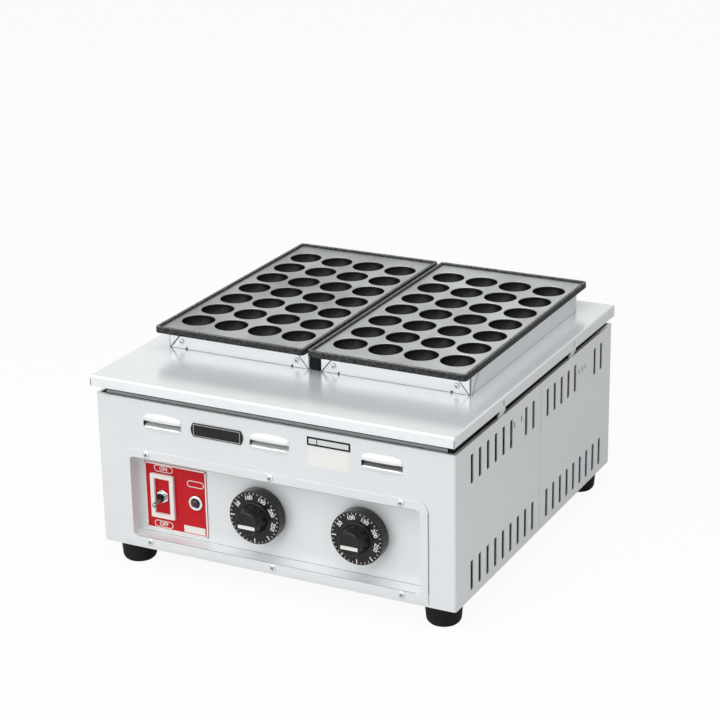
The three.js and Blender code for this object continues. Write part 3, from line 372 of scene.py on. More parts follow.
def finished(name, bm, slot, body="cabinet", replaced=(), angle=35.0, finish=None):
    """Turns a bmesh into a piece that rides on a body, with its normals outward."""
    bmesh.ops.remove_doubles(bm, verts=bm.verts, dist=WELD)
    bmesh.ops.recalc_face_normals(bm, faces=bm.faces)
    mesh = meshed(bm, name)
    for face in mesh.polygons:
        face.use_smooth = True
    mesh.set_sharp_from_angle(angle=math.radians(angle))
    mesh.materials.append(finish or finishes[slot])
    piece = bpy.data.objects.new(name, mesh)
    bpy.context.scene.collection.objects.link(piece)
    weighted = piece.modifiers.new("flat faces keep their light", "WEIGHTED_NORMAL")
    weighted.keep_sharp = True
    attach(piece, body)
    for node in replaced:
        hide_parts(node)


def eased(bm, radius, segments=2, angle=50.0):
    """Rounds every sharp edge."""
    limit = math.radians(angle)
    sharp = [e for e in bm.edges if len(e.link_faces) == 2 and e.calc_face_angle(0.0) > limit]
    rounded(bm, sharp, radius, segments)


def rounded(bm, parts, radius, segments, affect="EDGES"):
    """Bevels the given edges or corners."""
    bmesh.ops.bevel(
        bm,
        geom=parts,
        offset=radius * MM,
        segments=segments,
        profile=0.5,
        affect=affect,
        clamp_overlap=affect == "EDGES",
        material=-1,
    )


def copy_of(node):
    """A CAD node's mesh with its shared corners merged and its flat faces made whole."""
    bm = bmesh.new()
    bm.from_mesh(nodes[node].data)
    bmesh.ops.remove_doubles(bm, verts=bm.verts, dist=WELD)
    limit = math.radians(FLAT_ANGLE)
    bmesh.ops.dissolve_limit(bm, angle_limit=limit, verts=bm.verts, edges=bm.edges)
    return bm


def refined(node, slot, radius, segments=2, angle=35.0, finish=None):
    """A CAD node's copy with eased edges, which takes its place."""
    bm = copy_of(node)
    eased(bm, radius, segments)
    finished(node + "_finished", bm, slot, replaced=[node], angle=angle, finish=finish)


def box(bm, low, high, radius=0.0, segments=2):
    """An eased block between two corners in metres, added to a bmesh."""
    low, high = Vector(low), Vector(high)
    made = bmesh.ops.create_cube(bm, size=1.0)["verts"]
    bmesh.ops.scale(bm, vec=high - low, verts=made)
    bmesh.ops.translate(bm, vec=(low + high) / 2, verts=made)
    if radius:
        edges = list(dict.fromkeys(e for v in made for e in v.link_edges))
        rounded(bm, edges, radius, segments)


def turned(bm, profile, place, direction=UP, steps=64):
    """Spins a profile of (radius, height) in millimetres about an axis through place, in metres."""
    form = bmesh.new()
    corners = [form.verts.new((r * MM, 0.0, h * MM)) for r, h in profile]
    edges = [form.edges.new(pair) for pair in zip(corners, corners[1:])]
    bmesh.ops.spin(
        form,
        geom=corners + edges,
        cent=(0.0, 0.0, 0.0),
        axis=(0.0, 0.0, 1.0),
        dvec=(0.0, 0.0, 0.0),
        angle=2 * math.pi,
        steps=steps,
        use_merge=True,
        use_duplicate=False,
    )
    bmesh.ops.remove_doubles(form, verts=form.verts, dist=WELD)
    bmesh.ops.transform(form, matrix=Matrix.Translation(place) @ direction, verts=form.verts)
    poured(form, bm)


def arc(centre, radius, start, end, steps):
    """Points of a round stretch of a profile, by angles in degrees."""
    return [
        (
            centre[0] + radius * math.cos(math.radians(start + (end - start) * i / steps)),
            centre[1] + radius * math.sin(math.radians(start + (end - start) * i / steps)),
        )
        for i in range(steps + 1)
    ]


def crown(radius, foot, top):
    """Points of a profile over a domed end, from near its edge to its middle."""
    return [
        (radius * math.cos(math.radians(a)), foot + (top - foot) * math.sin(math.radians(a)))
        for a in CROWN_ANGLES
    ] + [(0.0, top)]


def rounded_face(bm, width, height, radius, segments=6):
    """A flat face in X and Z about the origin, facing forward, with round corners."""
    grid = bmesh.ops.create_grid(bm, x_segments=1, y_segments=1, size=0.5)["verts"]
    size = Matrix.Diagonal((width * MM, height * MM, 1.0, 1.0))
    bmesh.ops.transform(bm, matrix=FORWARD @ size, verts=grid)
    for vert in sorted(grid, key=lambda v: (round(v.co.z, 6), round(v.co.x, 6))):
        rounded(bm, [vert], radius, segments, "VERTICES")
    return bm.faces[:]


def raised(bm, faces, depth):
    """Gives flat faces a thickness along their forward side."""
    made = bmesh.ops.extrude_face_region(bm, geom=faces, use_keep_orig=True)["geom"]
    verts = [v for v in made if isinstance(v, bmesh.types.BMVert)]
    bmesh.ops.translate(bm, vec=(0.0, -depth * MM, 0.0), verts=verts)


def shifted(bm, place):
    """Moves a whole bmesh and returns it."""
    bmesh.ops.translate(bm, vec=Vector(place), verts=bm.verts)
    return bm


def inset_frame(bm, faces, thickness):
    """Leaves only a frame of the given width of a flat face."""
    bmesh.ops.inset_region(
        bm,
        faces=faces,
        thickness=thickness * MM,
        use_boundary=True,
        use_even_offset=True,
    )
    bmesh.ops.delete(bm, geom=faces, context="FACES_ONLY")


def band(width, height, radius, thickness, depth):
    """A printed or raised outline: a rounded rectangle with its middle left out."""
    bm = bmesh.new()
    inset_frame(bm, rounded_face(bm, width, height, radius), thickness)
    raised(bm, bm.faces[:], depth)
    return bm


def plaque(width, height, radius, depth):
    """A thin flat piece with round corners."""
    bm = bmesh.new()
    raised(bm, rounded_face(bm, width, height, radius, segments=4), depth)
    return bm


def on_face(bm, bounds, y):
    """Moves a flat piece to the middle of its bounds: left, right, foot and head."""
    left, right, foot, head = bounds
    return shifted(bm, ((left + right) / 2 * MM, y, (foot + head) / 2 * MM))


def written(bm, text, size, matrix, boldness, depth=0.12):
    """Adds text in millimetres, facing forward after the matrix."""
    curve = bpy.data.curves.new("words", "FONT")
    curve.body = text
    curve.size = size * MM
    curve.extrude = depth * MM / 2
    curve.offset = boldness * MM
    curve.align_x = "CENTER"
    curve.align_y = "CENTER"
    holder = bpy.data.objects.new("words", curve)
    bpy.context.scene.collection.objects.link(holder)
    bpy.context.view_layer.update()
    mesh = bpy.data.meshes.new_from_object(holder.evaluated_get(bpy.context.evaluated_depsgraph_get()))
    bpy.data.objects.remove(holder)
    mesh.transform(matrix)
    bm.from_mesh(mesh)
    bpy.data.meshes.remove(mesh)


LINE_HALF_DEPTH = 0.1
LINE_FOOT_GAP = 0.2
LINE_HEAD_GAP = 0.4


def fold_line(target, foot, head, outward, half=0.5):
    """A thin line along a wall, from its foot to its head."""
    outward = Vector(outward).normalized()
    along = head - foot
    up = along.normalized()
    turn = Matrix((outward.cross(up), outward, up)).transposed().to_4x4()
    line = bmesh.new()
    box(
        line,
        (-half * MM, -LINE_HALF_DEPTH * MM, LINE_FOOT_GAP * MM),
        (half * MM, LINE_HALF_DEPTH * MM, along.length - LINE_HEAD_GAP * MM),
    )
    bmesh.ops.transform(line, matrix=Matrix.Translation(foot) @ turn, verts=line.verts)
    poured(line, target)


SCREW_SINK = 1.0
SCREW_EDGE = 0.35
CROSS_REACH_SHARE = 0.5
CROSS_WIDTH_SHARE = 0.1
CROSS_DEPTH = 0.12
CROSS_EASE = 0.05


def screw(names, place, radius, height, turn, lift=0.0, replaced=()):
    """A domed screw head that faces forward, lifted off its face, and a black cross on its crown as
    painted shade where the cross slot lies in shadow.
    """
    profile = [(0.0, -SCREW_SINK), (radius, -SCREW_SINK), (radius, SCREW_EDGE)]
    head = bmesh.new()
    turned(head, profile + crown(radius, SCREW_EDGE, height), place, FORWARD, steps=32)
    finished(names[0], head, "zinc_steel", replaced=replaced)
    # Painted shade: a black cross stands on the crown in place of the shaded slot.
    cross_shade = bmesh.new()
    reach = radius * CROSS_REACH_SHARE * MM
    half = radius * CROSS_WIDTH_SHARE * MM
    depth = CROSS_DEPTH * MM
    top = Matrix.Translation((place[0], place[1] - (height - lift) * MM, place[2]))
    for quarter in (turn, turn + 90.0):
        arm = bmesh.new()
        box(arm, (-reach, -depth, -half), (reach, depth, half), CROSS_EASE, segments=1)
        spin = Matrix.Rotation(math.radians(quarter), 4, "Y")
        bmesh.ops.transform(arm, matrix=top @ spin, verts=arm.verts)
        poured(arm, cross_shade)
    finished(names[1], cross_shade, "black_steel")


# Cabinet

LIP_REACH = 1.3
TOP_EDGE_DROP = 1.6
LOUVRE_PITCH = 143.0
LOUVRE_WIDTH = 54.0
LOUVRE_SHEET = 1.2
LOUVRE_SQUARENESS = 0.55
LOUVRE_SINK = 0.3
LOUVRE_CUT = 0.02
# By direction up or down: the level of a lid's edge, its height and its reach
LOUVRE_LIDS = {1: (197.2, 8.8, 3.6), -1: (187.6, 3.6, 1.7)}
SCOOP_WIDTH_SHARE = 0.94
SCOOP_HALF_SHEET = 0.5
SCOOP_HEIGHT = 8.0
SCOOP_EASE = 0.3
SCOOP_LEAN = 55.0
SCOOP_SETBACK = 1.6
SCOOP_RISE = 0.2


def edge_moved(bm, level, move, back=math.inf):
    """Moves the corners that lie within a thin lip's reach of a level, in millimetres."""
    near = [v for v in bm.verts if abs(v.co.z / MM - level) < LIP_REACH and v.co.y / MM < back]
    bmesh.ops.translate(bm, vec=(0.0, 0.0, move * MM), verts=near)


def cut_away(bm, point, normal, front):
    """Cuts a bmesh by a plane and clears its front or its back; returns what lies on the cut."""
    return bmesh.ops.bisect_plane(
        bm,
        geom=bm.verts[:] + bm.edges[:] + bm.faces[:],
        plane_co=point,
        plane_no=normal,
        clear_outer=front,
        clear_inner=not front,
    )["geom_cut"]


def cabinet():
    """Both wrapped shells; the louvres' coarse lids give way to smooth ones."""
    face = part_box("badge_plate")[1].y + SEAT * MM
    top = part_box("front_shell")[1].z / MM
    front = copy_of("front_shell")
    cut = cut_away(front, (0.0, face - LOUVRE_CUT * MM, 0.0), FRONT, True)
    bmesh.ops.holes_fill(front, edges=[g for g in cut if isinstance(g, bmesh.types.BMEdge)], sides=0)
    for node, shell in {"front_shell": front, "rear_shell": copy_of("rear_shell")}.items():
        edge_moved(shell, top, -TOP_EDGE_DROP)
        finished(node + "_finished", shell, "cabinet_steel", replaced=[node], angle=50.0)
    for number, x in enumerate((-LOUVRE_PITCH, 0.0, LOUVRE_PITCH)):
        louvre(number, x * MM, face)


def louvre(number, x, face):
    """Both lids of an eyelid louvre, and the leaning sheet behind its mouth."""
    lids = bmesh.new()
    for direction, (edge, height, reach) in LOUVRE_LIDS.items():
        lid = louvre_lid(height, reach, direction)
        poured(shifted(lid, (x, face, edge * MM)), lids)
    finished(f"louvre_lids_{number + 1}", lids, "cabinet_steel", angle=60.0)
    half = LOUVRE_WIDTH / 2 * SCOOP_WIDTH_SHARE * MM
    sheet = SCOOP_HALF_SHEET * MM
    scoop = bmesh.new()
    box(scoop, (-half, -sheet, 0.0), (half, sheet, SCOOP_HEIGHT * MM), SCOOP_EASE)
    mouth = (LOUVRE_LIDS[-1][0] + SCOOP_RISE) * MM
    place = Matrix.Translation((x, face + SCOOP_SETBACK * MM, mouth))
    lean = Matrix.Rotation(math.radians(-SCOOP_LEAN), 4, "X")
    bmesh.ops.transform(scoop, matrix=place @ lean, verts=scoop.verts)
    # Each louvre's sheet takes its own painted light or painted shade.
    finished(f"louvre_scoop_{number + 1}", scoop, "inner_steel", finish=SCOOP_PAINTED_LIGHT_STEELS[number])


def louvre_lid(height, reach, direction):
    """A quarter of a squared dome that opens up or down, with a sheet's thickness."""
    bm = bmesh.new()
    bmesh.ops.create_uvsphere(bm, u_segments=48, v_segments=32, radius=1.0)
    bmesh.ops.rotate(bm, cent=(0, 0, 0), matrix=Matrix.Rotation(math.pi / 2, 3, "Y"), verts=bm.verts)
    for vert in bm.verts:
        vert.co.x = math.copysign(abs(vert.co.x) ** LOUVRE_SQUARENESS, vert.co.x)
    bmesh.ops.scale(bm, vec=(LOUVRE_WIDTH / 2 * MM, reach * MM, height * MM), verts=bm.verts)
    cut_away(bm, (0, 0, 0), (0, 0, direction), False)
    cut_away(bm, (0, LOUVRE_SINK * MM, 0), FRONT, False)
    bmesh.ops.recalc_face_normals(bm, faces=bm.faces)
    if sum(f.normal.dot(f.calc_center_median()) for f in bm.faces) < 0:
        bmesh.ops.reverse_faces(bm, faces=bm.faces)
    bmesh.ops.solidify(bm, geom=bm.faces[:], thickness=LOUVRE_SHEET * MM)
    return bm


# Cover and deck

COVER_EASE = 0.35
SKIRT_EDGE_RISE = 1.5
SKIRT_DEPTH = 5.0
SEAM_INSET = 0.5
SEAM_RISE = 2.0
SEAM_HEIGHT = 9.0
SEAM_HALF = 0.4
TRIM_HALF = 221.0
TRIM_BACK = 4.4
TRIM_SHEET = 1.0
TRIM_FOOT_DROP = 5.2
TRIM_HEAD_DROP = 1.4
TRIM_EASE = 0.2


def top_cover():
    """The cover, with the lower edge of its front skirt raised, and the lines at its front corners."""
    low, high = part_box("top_cover")
    cover = copy_of("top_cover")
    edge_moved(cover, low.z / MM, SKIRT_EDGE_RISE, low.y / MM + SKIRT_DEPTH)
    eased(cover, COVER_EASE)
    finished("top_cover_finished", cover, "cover_steel", replaced=["top_cover"], angle=50.0)
    for side, hand in SIDES.items():
        foot = Vector((hand * (high.x - SEAM_INSET * MM), low.y, low.z + SEAM_RISE * MM))
        seam = bmesh.new()
        fold_line(seam, foot, foot + Vector((0.0, 0.0, SEAM_HEIGHT * MM)), FRONT, SEAM_HALF)
        finished(f"cover_seam_{side}", seam, "black_steel")


def deck_trim():
    """The light strip along the front lip of the deck."""
    low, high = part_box("support_frame")
    trim = bmesh.new()
    box(
        trim,
        (-TRIM_HALF * MM, low.y + (TRIM_BACK - TRIM_SHEET) * MM, high.z - TRIM_FOOT_DROP * MM),
        (TRIM_HALF * MM, low.y + TRIM_BACK * MM, high.z - TRIM_HEAD_DROP * MM),
        TRIM_EASE,
    )
    finished("deck_lip_trim", trim, "inner_steel")


# Control panel

PANEL_EASE = 0.25
PANEL_SHEET = 1.2
PANEL_CORNER = 12.0
RECESS_HALF = 190.0
RECESS_FOOT = 45.0
RECESS_HEAD = 147.0
RECESS_CORNER = 5.0
RECESS_LINE_RISE = 0.3
RECESS_LINE_HALF = 0.22
PANEL_SCREW_RADIUS = 4.2
PANEL_SCREW_HEIGHT = 1.3
PANEL_SCREW_LENGTH = 8.0
PANEL_SCREW_TURNS = {"left": 20.0, "middle": 55.0, "right": 90.0}
LABEL_EASE = 0.15
GUARD_EASE = 0.6


def control_panel():
    """The dished sheet and everything that sits on it."""
    refined("control_panel", "cabinet_steel", PANEL_EASE, angle=50.0, finish=PANEL_STEEL)
    panel_edge_painted_shade()
    recess_crease_painted_shade()
    panel_screws()
    refined("label_plate", "red_label", LABEL_EASE, segments=1)
    refined("switch_guard", "white_enamel", GUARD_EASE, segments=3)
    label_print()
    toggle_switch()
    pilot_lamp()
    for side in SIDES:
        knob(side)


def panel_edge_painted_shade():
    """A thin dark strip of painted shade along the right edge of the panel's sheet."""
    low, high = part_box("control_panel")
    foot = Vector((high.x, low.y + PANEL_SHEET / 2 * MM, low.z + PANEL_CORNER * MM))
    head = Vector((foot.x, foot.y, high.z - PANEL_CORNER * MM))
    line = bmesh.new()
    fold_line(line, foot, head, (1.0, 0.0, 0.0))
    finished("panel_edge_painted_shade", line, "inner_steel")


def recess_crease_painted_shade():
    """Thin dark lines of painted shade along the creases at the head and the foot of the panel's dished
    hollow, where shade falls.
    """
    low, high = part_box("control_panel")
    floor = high.y - PANEL_SHEET * MM
    half = (RECESS_HALF - RECESS_CORNER) * MM
    lines = bmesh.new()
    for y, z in ((low.y, RECESS_HEAD), (low.y, RECESS_FOOT), (floor, RECESS_FOOT + RECESS_LINE_RISE)):
        ends = (Vector((-half, y, z * MM)), Vector((half, y, z * MM)))
        fold_line(lines, *ends, FRONT, RECESS_LINE_HALF)
    finished("recess_crease_painted_shade", lines, "inner_steel")


def panel_screws():
    """Domed heads in place of the panel's six screws."""
    for row in ("upper", "lower"):
        for column, turn in PANEL_SCREW_TURNS.items():
            node = f"panel_screw_{row}_{column}"
            low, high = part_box(node)
            place = ((low.x + high.x) / 2, high.y - PANEL_SCREW_LENGTH * MM, (low.z + high.z) / 2)
            names = (node + "_head", node + "_recess")
            screw(names, place, PANEL_SCREW_RADIUS, PANEL_SCREW_HEIGHT, turn, replaced=[node])


# Print on the label

LABEL_MARGIN = 0.35
LABEL_CORNER = 0.3
LABEL_BORDER = 1.9
# Each outline's centre, width and height, and the word in it
LABEL_OVALS = {
    "on_mark": (-155.2, 129.5, 26.0, 9.0, "ON"),
    "off_mark": (-158.0, 57.3, 26.0, 9.0, "OFF"),
    "lamp_mark": (-111.5, 117.2, 23.0, 8.5, ""),
}
OVAL_LINE = 1.0
OVAL_FLAT = 0.05
WORD_SIZE = 6.8
WORD_BOLDNESS = 0.18
BARE_STRIP = (-129.7, -100.4, 53.0, 62.0)
STRIP_CORNER = 0.8


def label_print():
    """The label's border, its outlines and words, and its bare strip."""
    low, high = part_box("label_plate")
    start = low.y + PRINT_SINK * MM
    size = (high - low) / MM
    border = band(size.x - LABEL_MARGIN, size.z - LABEL_MARGIN, LABEL_CORNER, LABEL_BORDER, PRINT_DEPTH)
    shifted(border, ((low.x + high.x) / 2, start, (low.z + high.z) / 2))
    finished("label_border", border, "white_enamel")
    for name, (x, z, width, height, word) in LABEL_OVALS.items():
        oval = band(width, height, height / 2 - OVAL_FLAT, OVAL_LINE, PRINT_DEPTH)
        shifted(oval, (x * MM, start, z * MM))
        if word:
            at = Matrix.Translation((x * MM, low.y, z * MM)) @ FORWARD
            written(oval, word, WORD_SIZE, at, WORD_BOLDNESS)
        finished(name, oval, "white_enamel")
    left, right, foot, head = BARE_STRIP
    strip = plaque(right - left, head - foot, STRIP_CORNER, PRINT_DEPTH)
    finished("label_bare_strip", on_face(strip, BARE_STRIP, start), "white_enamel")


# Switch and lamp; outlines are pairs of a radius and a height above their place

TOGGLE = (-156.2, 95.0)
NUT_RADIUS = 8.5
NUT_EASE = 0.5
BUSH_MOUTH = [(4.6, -6.0), (4.6, -0.4), (4.95, 0.0), (5.3, 0.0)]
BUSH_FOOT = [(5.35, -6.0), (4.6, -6.0)]
THREAD_CREST = (5.75, -0.3)
THREAD_ROOT = (5.35, -0.61)
THREAD_PITCH = 0.62
THREAD_TURNS = 9
LEVER_PIVOT = -218.0
LEVER_TILT = 12.0
LEVER_OUTLINE = [
    (0.0, -3.0),
    *arc((0.0, 0.0), 3.0, -60, 45, 8),
    (1.9, 3.0),
    (1.95, 5.0),
    (2.5, 14.0),
    (3.0, 20.0),
    *arc((0.0, 20.0), 3.0, 10, 80, 7),
    (0.0, 23.0),
]
LAMP = (-110.7, 94.5)
BEZEL_OUTLINE = [
    (5.5, 0.0),
    (9.3, 0.0),
    (9.3, 2.0),
    *arc((8.1, 2.3), 1.2, 0, 90, 5),
    (6.6, 3.5),
    (6.1, 3.2),
    (5.5, 2.2),
    (5.5, 0.0),
]
LENS_OUTLINE = [(0.0, 0.0), (5.2, 0.0), (5.2, 4.4), *crown(5.2, 4.4, 7.4)]


def toggle_switch():
    """The nut, the threaded bush and the lever, which leans as it does at rest."""
    low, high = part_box("toggle_nut")
    x, z = TOGGLE[0] * MM, TOGGLE[1] * MM
    nut = bmesh.new()
    bmesh.ops.create_cone(
        nut,
        cap_ends=True,
        segments=6,
        radius1=NUT_RADIUS * MM,
        radius2=NUT_RADIUS * MM,
        depth=high.y - low.y,
    )
    place = Matrix.Translation((x, (low.y + high.y) / 2, z))
    bmesh.ops.transform(nut, matrix=place @ FORWARD, verts=nut.verts)
    eased(nut, NUT_EASE, segments=3)
    finished("toggle_nut_finished", nut, "chrome", replaced=["toggle_nut"])
    thread = []
    for turn in range(THREAD_TURNS):
        for radius, height in (THREAD_CREST, THREAD_ROOT):
            thread.append((radius, height - THREAD_PITCH * turn))
    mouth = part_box("toggle_body")[0].y
    bush = bmesh.new()
    turned(bush, BUSH_MOUTH + thread + BUSH_FOOT, (x, mouth, z), FORWARD, steps=40)
    finished("toggle_bush_finished", bush, "chrome")
    tilt = Matrix.Rotation(math.radians(LEVER_TILT), 4, "X")
    lever = bmesh.new()
    turned(lever, LEVER_OUTLINE, (x, LEVER_PIVOT * MM, z), tilt @ FORWARD, steps=40)
    finished(
        "toggle_lever_finished",
        lever,
        "chrome",
        "toggle",
        ["toggle_lever"],
        angle=50.0,
        finish=LEVER_PAINTED_REFLECTION_STEEL,
    )


def pilot_lamp():
    """The lamp's round bezel and the domed lens in it."""
    x, z = LAMP[0] * MM, LAMP[1] * MM
    bezel = bmesh.new()
    turned(bezel, BEZEL_OUTLINE, (x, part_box("lamp_bezel")[1].y, z), FORWARD)
    finished("lamp_bezel_finished", bezel, "chrome", replaced=["lamp_bezel"], angle=50.0)
    lens = bmesh.new()
    turned(lens, LENS_OUTLINE, (x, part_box("lamp_lens")[1].y, z), FORWARD, steps=48)
    finished("lamp_lens_finished", lens, "smoked_lens", replaced=["lamp_lens"], angle=50.0)


# Knobs

DIAL_RADIUS = 33.0
DIAL_DEPTH = 16.0
DIAL_FOOT_EASE = 1.0
DIAL_EASE = 1.2
HUB_BASE = 18.0
HUB_CROWN = 14.5
HUB_HEIGHT = 18.7
HUB_FILLET = 1.2
HUB_EASE = 1.6
HUB_DISH = 1.0
KNOB_TOP = DIAL_DEPTH + HUB_HEIGHT
KNOB_OUTLINE = [
    (0.0, 17.0),
    (3.3, 17.0),
    (3.3, 6.0),
    (8.0, 6.0),
    (8.0, 0.0),
    *arc((DIAL_RADIUS - DIAL_FOOT_EASE, DIAL_FOOT_EASE), DIAL_FOOT_EASE, -90, 0, 4),
    *arc((DIAL_RADIUS - DIAL_EASE, DIAL_DEPTH - DIAL_EASE), DIAL_EASE, 0, 90, 6),
    (HUB_BASE + HUB_FILLET, DIAL_DEPTH),
    *arc((HUB_BASE + HUB_FILLET, DIAL_DEPTH + HUB_FILLET), HUB_FILLET, -90, -160, 4),
    *arc((HUB_CROWN - HUB_EASE, KNOB_TOP - HUB_EASE), HUB_EASE, 12, 90, 6),
    (HUB_CROWN - 2.8, KNOB_TOP - 0.3),
    (8.0, KNOB_TOP - 0.7),
    (4.0, KNOB_TOP - 0.95),
    (0.0, KNOB_TOP - HUB_DISH),
]
KNOB_STRIP = (22.0, 4.2)
KNOB_STRIP_CORNER = 0.6
KNOB_STRIP_DEPTH = 1.0
KNOB_STRIP_DROP = 4.6
DIAL_STROKES = 36
DIAL_MARGIN = 1.4
STROKE = (2.2, 0.35)  # length and half width
LONG_STROKE = (6.0, 0.7)
LONG_STROKE_ANGLES = (140.0, 180.0, 220.0, 270.0)
STROKE_LIFT = 0.08
STROKE_SINK = 0.03
DIAL_NUMBERS = {-55: "50", -15: "100", 25: "150", 65: "200", 105: "250"}
NUMBER_INSET = 7.6
NUMBER_SIZE = 7.2
NUMBER_BOLDNESS = 0.2


def knob(side):
    """A dial with a tapered hub, whose dished face carries a blank strip."""
    node = f"knob_{side}"
    low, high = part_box(node)
    place = Vector(((low.x + high.x) / 2, high.y, (low.z + high.z) / 2))
    bm = bmesh.new()
    turned(bm, KNOB_OUTLINE, place, FORWARD, steps=96)
    finished(node + "_finished", bm, "black_plastic", node, [node], angle=40.0, finish=KNOB_PLASTIC)
    dial_marks(side, place)
    strip = plaque(*KNOB_STRIP, KNOB_STRIP_CORNER, KNOB_STRIP_DEPTH)
    shifted(strip, place + Vector((0.0, -(KNOB_TOP - HUB_DISH) * MM, -KNOB_STRIP_DROP * MM)))
    finished(f"knob_{side}_blank_strip", strip, "white_enamel", node)


def dial_marks(side, place):
    """White strokes round the dial's edge, with plain numbers inside them."""
    marks = bmesh.new()
    face = Matrix.Translation(place + Vector((0.0, -DIAL_DEPTH * MM, 0.0)))
    outer = DIAL_RADIUS - DIAL_MARGIN
    for step in range(DIAL_STROKES):
        turn = step * 360.0 / DIAL_STROKES
        length, half = LONG_STROKE if turn in LONG_STROKE_ANGLES else STROKE
        stroke = bmesh.new()
        box(
            stroke,
            (-half * MM, -STROKE_LIFT * MM, (outer - length) * MM),
            (half * MM, STROKE_SINK * MM, outer * MM),
        )
        spin = Matrix.Rotation(math.radians(turn), 4, "Y")
        bmesh.ops.transform(stroke, matrix=face @ spin, verts=stroke.verts)
        poured(stroke, marks)
    out = Matrix.Translation((0.0, 0.0, (DIAL_RADIUS - NUMBER_INSET) * MM))
    for turn, text in DIAL_NUMBERS.items():
        spin = Matrix.Rotation(math.radians(turn), 4, "Y")
        written(marks, text, NUMBER_SIZE, face @ spin @ out @ FORWARD, NUMBER_BOLDNESS)
    finished(f"dial_marks_{side}", marks, "white_enamel", f"knob_{side}")


# Cooking plates

CUP_COLUMNS = 4
CUP_ROWS = 7
CUP_PITCH = 46.0
CUP_RADIUS = 20.5
CUP_DEPTH = 19.5
CUP_LIP = 0.7
CUP_STEPS = 40
CELL_WELD = WELD * 5
SHELL_RADIUS = 22.2
SHELL_DEPTH = 18.25
SHELL_LIP = 0.3
BOWL_ANGLES = (0, 12, 24, 36, 48, 60, 72, 82, 90)
WEB_INSET = 2.0
PLATE_CORNER = 5.0
RIM_WIDTH = 4.5
RIM_EASE = 1.9


def bowl_cell(radius, depth, level, lip):
    """One square of a plate's skin with a round bowl in it; every side takes the same corners."""
    profile = [
        (radius * math.sin(math.radians(a)), level - lip - (depth - lip) * math.cos(math.radians(a)))
        for a in BOWL_ANGLES
    ]
    profile += arc((radius + lip, level - lip), lip, 180, 90, 3)[1:]
    bm = bmesh.new()
    turned(bm, profile, (0.0, 0.0, 0.0), steps=CUP_STEPS)
    half = CUP_PITCH / 2 * MM
    for vert in grown_edge(bm):
        scale = half / max(abs(vert.co.x), abs(vert.co.y))
        vert.co.x *= scale
        vert.co.y *= scale
    return meshed(bm, "cell")


def grown_edge(bm):
    """Extrudes the open edges of a skin and returns the new corners."""
    loose = [e for e in bm.edges if e.is_boundary]
    grown = bmesh.ops.extrude_edge_only(bm, edges=loose)["geom"]
    return [g for g in grown if isinstance(g, bmesh.types.BMVert)]


def add_skin(target, centre, cell, reach):
    """Adds a plate's cells, grown out to the rim, and removes their mesh."""
    bm = bmesh.new()
    for column in range(CUP_COLUMNS):
        for row in range(CUP_ROWS):
            x = (column - (CUP_COLUMNS - 1) / 2) * CUP_PITCH * MM
            y = (row - (CUP_ROWS - 1) / 2) * CUP_PITCH * MM
            move = Matrix.Translation(centre + Vector((x, y, 0.0)))
            cell.transform(move)
            bm.from_mesh(cell)
            cell.transform(move.inverted())
    bmesh.ops.remove_doubles(bm, verts=bm.verts, dist=CELL_WELD)
    grid = Vector((CUP_COLUMNS, CUP_ROWS)) * CUP_PITCH / 2 * MM
    for vert in grown_edge(bm):
        vert.co.x = centre.x + (vert.co.x - centre.x) * reach.x / grid.x
        vert.co.y = centre.y + (vert.co.y - centre.y) * reach.y / grid.y
    poured(bm, target)
    bpy.data.meshes.remove(cell)


def cooking_plate(side):
    """A thin web between its cups and the shells under them, inside a raised rim."""
    node = f"cooking_plate_{side}"
    low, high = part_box(node)
    centre = Vector(((low.x + high.x) / 2, (low.y + high.y) / 2, 0.0))
    surface = high.z / MM - PLATE_RIM_HEIGHT
    under = surface - WEB
    inset = Vector((WEB_INSET, WEB_INSET)) * MM
    reach = Vector(((high.x - low.x) / 2, (high.y - low.y) / 2)) - inset
    web = bmesh.new()
    add_skin(web, centre, bowl_cell(CUP_RADIUS, CUP_DEPTH, surface, CUP_LIP), reach)
    add_skin(web, centre, bowl_cell(SHELL_RADIUS, SHELL_DEPTH, under, SHELL_LIP), reach)
    bmesh.ops.bridge_loops(web, edges=[e for e in web.edges if e.is_boundary])
    finished(node + "_web", web, "cast_iron", f"plate_{side}", [node], angle=40.0)
    rim = bmesh.new()
    width, depth = (high.x - low.x) / MM, (high.y - low.y) / MM
    inset_frame(rim, rounded_face(rim, width, depth, PLATE_CORNER, segments=8), RIM_WIDTH)
    raised(rim, rim.faces[:], PLATE_RIM_HEIGHT + WEB)
    bmesh.ops.recalc_face_normals(rim, faces=rim.faces)
    eased(rim, RIM_EASE, segments=4)
    bmesh.ops.rotate(rim, cent=(0, 0, 0), matrix=Matrix.Rotation(-math.pi / 2, 3, "X"), verts=rim.verts)
    shifted(rim, centre + Vector((0.0, 0.0, under * MM)))
    finished(node + "_rim", rim, "cast_iron", f"plate_{side}", finish=RIM_IRON_PAINTED_SHADE)


# Collars and the bar between them

COLLAR_EASE = 0.25
BAR_EASE = 0.8
LAP_SHEET = 0.8
LAP_FOOT = 95.0
LAP_WIDTH = 20.0
CORNER_LINE = (1.06, 1.24)  # how far the corner's line lies outward and back from the lap's foot
SIDE_LINE_SETBACK = 2.3
COLLAR_SCREW_SPREAD = 79.0
COLLAR_SCREW_RISE = 9.0
COLLAR_SCREW_RADIUS = 3.4
COLLAR_SCREW_HEIGHT = 1.8
COLLAR_SCREW_LIFT = 0.05
COLLAR_SCREW_TURNS = (15.0, 55.0)
TACK_SPREAD = 72.5
TACK_RISE = 1.0
TACK_OUTLINE = [(0.0, -0.8), (1.6, -0.8), (1.4, 0.3), (0.9, 0.8), (0.0, 1.0)]


